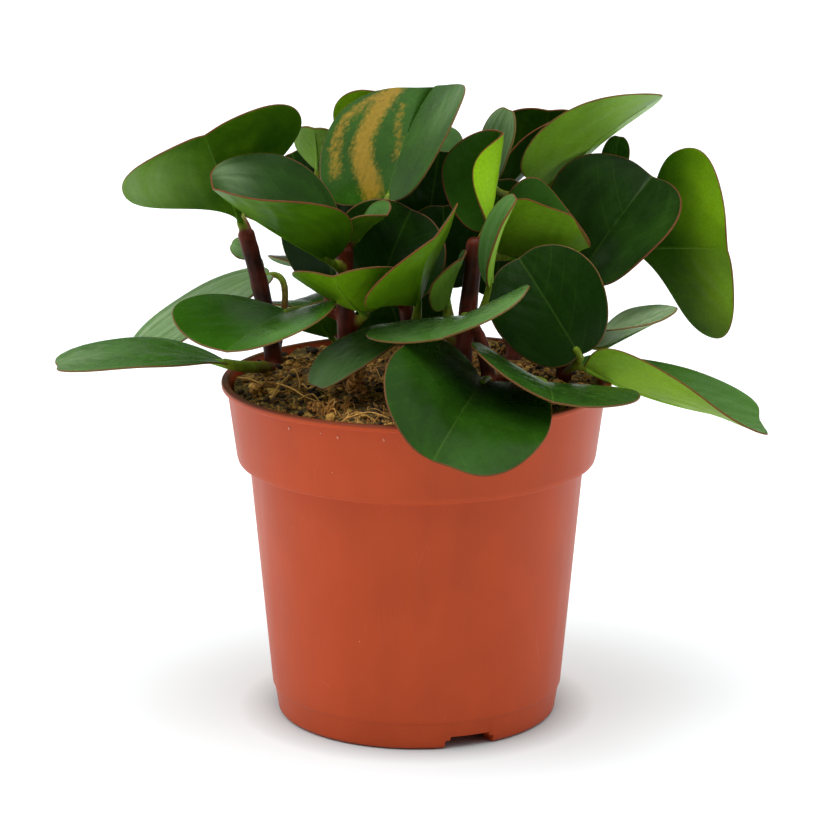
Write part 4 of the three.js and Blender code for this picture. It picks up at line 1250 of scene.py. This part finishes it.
def make_pot(plastic):
    """The pot, its foot broken by the notches, and its floor pierced by the drains."""
    half = math.degrees(NOTCH_WIDTH / 2 / FOOT_RADIUS)
    step = math.degrees(NOTCH_STEP / FOOT_RADIUS)
    degrees = pot_angles(half, step)
    profile = pot_profile()
    points, faces = lathe(profile, [math.radians(angle) for angle in degrees])
    for column, angle in enumerate(degrees):
        offset = min(abs(turned(angle, middle)) for middle in NOTCH_ANGLES)
        if offset < half:
            height = NOTCH_HEIGHT if offset < half - step else NOTCH_STEP_HEIGHT
            span = slice(column * len(profile), (column + 1) * len(profile))
            low = points[span, 2] < height
            points[span, 2] = np.where(low, height - 0.1 + points[span, 2] * 0.02, points[span, 2])
    made = build("moulded_pot", points, faces, [plastic], ["pot"])
    editable = bmesh.new()
    editable.from_mesh(made.data)
    bmesh.ops.remove_doubles(editable, verts=editable.verts, dist=0.01 * MM)
    bmesh.ops.dissolve_degenerate(editable, edges=editable.edges, dist=0.005 * MM)
    bmesh.ops.recalc_face_normals(editable, faces=editable.faces)
    editable.to_mesh(made.data)
    editable.free()
    pierce_drains(made)
    made.data.set_sharp_from_angle(angle=math.radians(50))
    return made


def pierce_drains(made):
    """Cuts the drain holes out of the pot's floor."""
    cutters = []
    for i in range(DRAIN_COUNT):
        angle = 2 * math.pi * (i + 0.5) / DRAIN_COUNT
        x, y = DRAIN_CIRCLE_RADIUS * math.cos(angle), DRAIN_CIRCLE_RADIUS * math.sin(angle)
        cutters.append(tube([(x, y, 1), (x, y, 5), (x, y, 9)], [DRAIN_RADIUS] * 3, 32))
    points, faces = merged(cutters)
    mesh = bpy.data.meshes.new("drain_cutter")
    mesh.from_pydata((points * MM).tolist(), [], faces)
    cutter = bpy.data.objects.new("drain_cutter", mesh)
    bpy.context.scene.collection.objects.link(cutter)
    drains = made.modifiers.new("drains", "BOOLEAN")
    drains.object, drains.operation, drains.solver = cutter, "DIFFERENCE", "EXACT"
    apply_modifiers(made)
    bpy.data.objects.remove(cutter)
    bpy.data.meshes.remove(mesh)


def soil_height(x, y):
    """Height of the soil's top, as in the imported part."""
    edge = math.hypot(x, y) / LIP_INNER_RADIUS
    across = math.sin(2 * math.pi * (x + SOIL_LUMP_SHIFT) / SOIL_LUMP_ACROSS)
    deep = math.sin(2 * math.pi * (y + SOIL_LUMP_SHIFT) / SOIL_LUMP_DEEP)
    lump = across * deep + math.sin(2 * math.pi * (x + y) / SOIL_LUMP_SLANTED)
    slope = SOIL_BACK_RISE * y / LIP_INNER_RADIUS
    return SOIL_EDGE_HEIGHT + SOIL_MOUND * (1 - edge * edge) + slope + SOIL_LUMP * lump


def rough_height(x, y):
    """The same with its crumbs and hollows."""
    coarse = noise.fractal(Vector((x / LUMP_SIZE, y / LUMP_SIZE, 3.1)), 1.0, 2.1, 4)
    fine = noise.fractal(Vector((x / BIT_SIZE, y / BIT_SIZE, 8.4)), 0.8, 2.2, 3)
    return soil_height(x, y) + LUMP_HEIGHT * coarse + BIT_HEIGHT * fine


def make_soil(settings):
    """The peat plug, with a crumbly top."""
    top_radius = COLLAR_TOP_RADIUS - WALL - GAP - SOIL_EDGE_SLACK
    sides, rings = SOIL_SIDES, SOIL_RINGS
    low = FLOOR_HEIGHT + WALL + GAP
    points = [(0, 0, soil_height(0, 0))]
    for ring in range(1, rings + 1):
        for x, y, _ in circle(top_radius * ring / rings, sides, 0):
            points.append((x, y, rough_height(x, y)))
    levels = [
        (COLLAR_LOW_RADIUS - WALL - GAP, COLLAR_LOW_HEIGHT + SOIL_SHOULDER),
        (BODY_TOP_RADIUS - WALL - GAP, BODY_TOP_HEIGHT + LIP_ROUNDING),
        (BODY_LOW_RADIUS - WALL - GAP, FOOT_STEP_HEIGHT),
        (BODY_LOW_RADIUS - WALL - GAP - INSIDE_CORNER, low),
    ]
    for radius, height in levels:
        points += circle(radius, sides, height)
    faces = disc_faces(sides, rings + len(levels))
    faces.append(tuple(reversed(range(len(points) - sides, len(points)))))
    return build("peat_plug", points, faces, [moist_peat(settings)], ["soil"])


def anywhere(chance, reach):
    """A place drawn evenly from a disc of this radius."""
    r, angle = reach * math.sqrt(chance.random()), chance.uniform(0, 2 * math.pi)
    return r * math.cos(angle), r * math.sin(angle)


def lump(middle, radius, chance, flat=0.75):
    """A small irregular crumb: a ball of few faces pushed in and out."""
    ball = bmesh.new()
    bmesh.ops.create_icosphere(ball, subdivisions=2, radius=1)
    offset = Vector([chance.uniform(0, 40) for _ in range(3)])
    points = []
    for vertex in ball.verts:
        push = 1 + 0.45 * noise.noise(vertex.co * 1.7 + offset) + 0.2 * noise.noise(vertex.co * 4 + offset)
        x, y, z = vertex.co * push * radius
        points.append((middle[0] + x, middle[1] + y, middle[2] + z * flat))
    faces = [tuple(vertex.index for vertex in face.verts) for face in ball.faces]
    ball.free()
    return points, faces


def make_crumbs(settings):
    """Loose crumbs of peat on the soil."""
    chance = random.Random(CRUMB_SEED)
    parts, tones = [], []
    for _ in range(settings.crumb_count):
        x, y = anywhere(chance, CRUMB_REACH)
        radius = chance.choice(CRUMB_RADII)
        parts.append(lump((x, y, rough_height(x, y) + radius * 0.25), radius, chance))
        tones += [chance.random() ** 1.5] * len(parts[-1][0])
    points, faces = merged(parts)
    return build("peat_crumbs", points, faces, [loose_crumb()], attributes={"tone": tones})


# Clumps of bark bits on the soil: place, radius, height and number of bits
CLUMPS = [(-18.2, -18.5, 3.0, 7.0, 60), (-48.5, -14.5, 2.2, 2.6, 22), (-30.5, -33, 2.4, 1.6, 18)]


def make_clumps():
    """Heaps of bark bits."""
    chance = random.Random(CLUMP_SEED)
    parts = []
    for x, y, spread, height, count in CLUMPS:
        for i in range(count):
            rise = (i / count) * height
            out_x, out_y = anywhere(chance, spread * (1 - 0.45 * i / count))
            middle = (x + out_x, y + out_y, rough_height(x, y) + 0.4 + rise)
            parts.append(lump(middle, chance.uniform(0.55, 1.15), chance, 0.9))
    points, faces = merged(parts)
    return build("bark_clumps", points, faces, [golden_clump()])


def fibre_path(x, y, heading, length, chance, arch):
    """A thread that lies on the soil from a place, with a bend and an arch of its own."""
    turn = chance.uniform(-0.28, 0.28)
    points = []
    for i in range(FIBRE_STEPS + 1):
        t = i / FIBRE_STEPS
        reach = math.hypot(x, y)
        if reach > CRUMB_REACH:
            x, y = x * CRUMB_REACH / reach, y * CRUMB_REACH / reach
        points.append((x, y, rough_height(x, y) + 0.3 + arch * 4 * t * (1 - t)))
        x += length / FIBRE_STEPS * math.cos(heading)
        y += length / FIBRE_STEPS * math.sin(heading)
        heading += turn + chance.uniform(-0.25, 0.25)
    return points


def upright_path(x, y, height, chance):
    """A thread that stands up from the soil and curls over."""
    heading = chance.uniform(0, 2 * math.pi)
    lean = chance.uniform(0.15, 0.6)
    low = rough_height(x, y)
    points = []
    for t in np.linspace(0, 1, 9):
        out = lean * height * t * t
        rise = height * t * (1 - 0.35 * t)
        points.append((x + out * math.cos(heading), y + out * math.sin(heading), low + rise))
    return points


# Long fibres that stand out, each as points on and over the soil
LONG_FIBRES = [
    [(-42.5, -10, 106.2), (-38, -17.5, 106.6), (-33.5, -25, 105.8), (-29.5, -29.5, 105.4)],
    [(-35.6, -17, 104.6), (-35.4, -16.6, 108.2), (-36.4, -16.3, 111.2), (-37.6, -16, 112.6)],
    [(-55.2, 0.5, 105.4), (-51.5, -4, 106.2), (-47, -9, 105.6)],
    [(-43.5, -22, 104.8), (-41.5, -15, 107.2), (-38.6, -11, 109.0)],
    [(-35.5, -26, 105.2), (-31.5, -25, 106.6), (-29.0, -29, 105.2)],
    [(-20.5, -46, 104.6), (-14, -44, 105.8), (-8, -47, 104.8)],
]

# Tufts of upright fibres: place, radius, height and number of fibres
TUFTS = [
    (-26, -36, 3.2, 5.5, 34),
    (-21, -31, 3.0, 4.5, 20),
    (-39.5, -29.5, 2.2, 2.2, 18),
    (-13, -45, 5, 1.8, 26),
]


def make_fibres(settings):
    """Dry fibres: some all over the soil, long ones that stand out, and tufts."""
    chance = random.Random(FIBRE_SEED)
    paths = []
    for _ in range(settings.fibre_count):
        x, y = anywhere(chance, FIBRE_REACH)
        length, arch = chance.uniform(3, 14), chance.uniform(0, 1.0)
        path = fibre_path(x, y, chance.uniform(0, 2 * math.pi), length, chance, arch)
        paths.append((path, chance.uniform(0.12, 0.26), chance.uniform(0.1, 0.9)))
    for x, y, spread, height, count in TUFTS:
        for _ in range(count):
            place_x, place_y = x + chance.gauss(0, spread * 0.5), y + chance.gauss(0, spread * 0.4)
            if math.hypot(place_x, place_y) < 54:
                path = upright_path(place_x, place_y, height * chance.uniform(0.4, 1), chance)
                paths.append((path, chance.uniform(0.14, 0.3), chance.uniform(0.3, 0.9)))
    for line in LONG_FIBRES:
        path = [catmull(line, t) for t in np.linspace(0, 1, 16)]
        paths.append((path, 0.3, 0.75))
    parts, tones = [], []
    for path, width, tone in paths:
        points, faces = tube(path, np.linspace(width, width * 0.5, len(path)), 5)
        parts.append((points, faces))
        tones += [tone] * len(points)
    points, faces = merged(parts)
    return build(
        "plant_fibres", points, faces, [dry_fibre(settings)], attributes={"tone": tones}
    )


# Small burrs left by the mould under the rim: angle in degrees, height and size
BURRS = [
    (-130.5, 101.0, 0.4),
    (-113.5, 100.6, 0.36),
    (-99.5, 100.9, 0.32),
    (-119.0, 101.2, 0.2),
    (-84.0, 100.9, 0.25),
]


def make_burrs(plastic):
    """Small burrs that stand out from the collar under the rim."""
    chance = random.Random(BURR_SEED)
    parts = []
    for degrees, height, size in BURRS:
        angle = math.radians(degrees)
        share = (height - COLLAR_LOW_HEIGHT) / (POT_HEIGHT - LIP_HEIGHT - COLLAR_LOW_HEIGHT)
        r = COLLAR_LOW_RADIUS + share * (COLLAR_TOP_RADIUS - COLLAR_LOW_RADIUS)
        parts.append(lump((r * math.cos(angle), r * math.sin(angle), height), size, chance, 1.5))
    points, faces = merged(parts)
    return build("mould_burrs", points, faces, [plastic])


# Operators


class PLANT_OT_pot(bpy.types.Operator):
    """Makes the moulded pot with its burrs"""

    bl_idname = "plant.pot"
    bl_label = "Pot"

    def execute(self, context):
        plastic = moulded_plastic(context.scene.potted_plant)
        make_pot(plastic)
        make_burrs(torn_plastic())
        return {"FINISHED"}


class PLANT_OT_soil(bpy.types.Operator):
    """Makes the peat plug with its crumbs"""

    bl_idname = "plant.soil"
    bl_label = "Soil"

    def execute(self, context):
        make_soil(context.scene.potted_plant)
        make_crumbs(context.scene.potted_plant)
        make_clumps()
        return {"FINISHED"}


class PLANT_OT_fibres(bpy.types.Operator):
    """Makes the plant fibres that lie on the soil"""

    bl_idname = "plant.fibres"
    bl_label = "Fibres"

    def execute(self, context):
        make_fibres(context.scene.potted_plant)
        return {"FINISHED"}


class PLANT_OT_shoots(bpy.types.Operator):
    """Makes the stems with their leaf stalks"""

    bl_idname = "plant.shoots"
    bl_label = "Stems"

    def execute(self, context):
        material = stem_skin(context.scene.potted_plant)
        for name in STEMS:
            shoot(name, material)
        return {"FINISHED"}


class PLANT_OT_blades(bpy.types.Operator):
    """Makes the leaf blades"""

    bl_idname = "plant.blades"
    bl_label = "Leaves"

    def execute(self, context):
        settings = context.scene.potted_plant
        upper = waxy_leaf("living leaf, waxy upper side", settings)
        striped = waxy_leaf("living leaf, waxy and striped", settings, striped=True)
        under = waxy_leaf("living leaf, satin underside", settings, underside=True)
        for row in LEAVES:
            first = striped if row["name"] == "variegated" else upper
            blade(row, [first, under], settings.blade_thickness / MM)
        return {"FINISHED"}


class PLANT_OT_stage(bpy.types.Operator):
    """Makes the pale floor, the soft lights and the camera"""

    bl_idname = "plant.stage"
    bl_label = "Stage"

    def execute(self, context):
        scene = context.scene
        make_floor(scene.potted_plant)
        make_lights(scene)
        make_camera(scene)
        return {"FINISHED"}


# Stage


def make_floor(settings):
    """A wide pale disc under the pot."""
    points = [(0, 0, -FLOOR_GAP * MM)]
    for radius in FLOOR_RINGS:
        points += circle(radius, FLOOR_SIDES, -FLOOR_GAP * MM)
    mesh = bpy.data.meshes.new("studio_floor")
    mesh.from_pydata(points, [], disc_faces(FLOOR_SIDES, len(FLOOR_RINGS)))
    mesh.materials.append(pale_floor(settings))
    floor = bpy.data.objects.new("studio_floor", mesh)
    bpy.context.scene.collection.objects.link(floor)


def make_lights(scene):
    """Dim surroundings with a large soft box above and one at each side, the left one brighter,
    and a broad key light from above."""
    world = bpy.data.worlds.new("white studio")
    world.use_nodes = True
    tree = world.node_tree
    tree.nodes.clear()
    way = node(tree, "ShaderNodeTexCoord").outputs["Generated"]
    way = node(tree, "ShaderNodeSeparateXYZ", {0: way})
    sideways = maths(tree, "ABSOLUTE", way.outputs["X"])
    boxes = (
        (way.outputs["Z"], ABOVE_BOX), (sideways, SIDE_BOXES), (way.outputs["X"], LEFT_WINDOW),
        (way.outputs["Y"], BEHIND_BOX),
    )
    strength = 0.0
    for toward, (start, end, low, high) in boxes:
        box = fade(tree, toward, start, end, low, high, interpolation_type="SMOOTHSTEP")
        strength = maths(tree, "ADD", box, strength)
    light = node(tree, "ShaderNodeBackground", {"Color": (1, 1, 1, 1), "Strength": strength})
    node(tree, "ShaderNodeOutputWorld", {"Surface": light})
    scene.world = world
    lamp = bpy.data.lights.new("key", "SUN")
    lamp.energy, lamp.angle = KEY_STRENGTH, math.radians(KEY_SPREAD)
    held = bpy.data.objects.new("key", lamp)
    held.rotation_mode = "QUATERNION"
    held.rotation_quaternion = Vector(KEY_FROM).to_track_quat("Z", "Y")
    scene.collection.objects.link(held)


def make_camera(scene):
    """The photograph's camera: a long lens that looks a little down on the plant."""
    lens = bpy.data.cameras.new("camera")
    lens.lens, lens.sensor_width = CAMERA_LENS, 36
    lens.clip_start, lens.clip_end = 0.01, 100
    held = bpy.data.objects.new("camera", lens)
    raised = math.radians(CAMERA_RAISED)
    back, up = CAMERA_DISTANCE * math.cos(raised), CAMERA_DISTANCE * math.sin(raised)
    held.location = (CAMERA_SIDE * MM, -back * MM, (AIM_HEIGHT + up) * MM)
    held.rotation_euler = (math.pi / 2 - raised, 0, 0)
    scene.collection.objects.link(held)
    scene.camera = held
    scene.view_settings.view_transform = "Standard"


class PLANT_PT_panel(bpy.types.Panel):
    """Lists the plant's settings and its pieces"""

    bl_label = "Potted peperomia"
    bl_idname = "PLANT_PT_panel"
    bl_space_type = "VIEW_3D"
    bl_region_type = "UI"
    bl_category = "Plant"

    def draw(self, context):
        settings = context.scene.potted_plant
        for key in PottedPlantSettings.__annotations__:
            self.layout.prop(settings, key)
        for operator in OPERATORS:
            self.layout.operator(operator.bl_idname)


OPERATORS = (
    PLANT_OT_pot, PLANT_OT_soil, PLANT_OT_fibres, PLANT_OT_shoots, PLANT_OT_blades, PLANT_OT_stage,
)
CLASSES = (PottedPlantSettings, *OPERATORS, PLANT_PT_panel)


def register():
    for one in CLASSES:
        bpy.utils.register_class(one)
    bpy.types.Scene.potted_plant = bpy.props.PointerProperty(type=PottedPlantSettings)


def unregister():
    del bpy.types.Scene.potted_plant
    for one in reversed(CLASSES):
        bpy.utils.unregister_class(one)


def main():
    register()
    bpy.ops.plant.pot()
    bpy.ops.plant.soil()
    bpy.ops.plant.fibres()
    bpy.ops.plant.shoots()
    bpy.ops.plant.blades()
    bpy.ops.plant.stage()


if __name__ == "__main__":
    main()
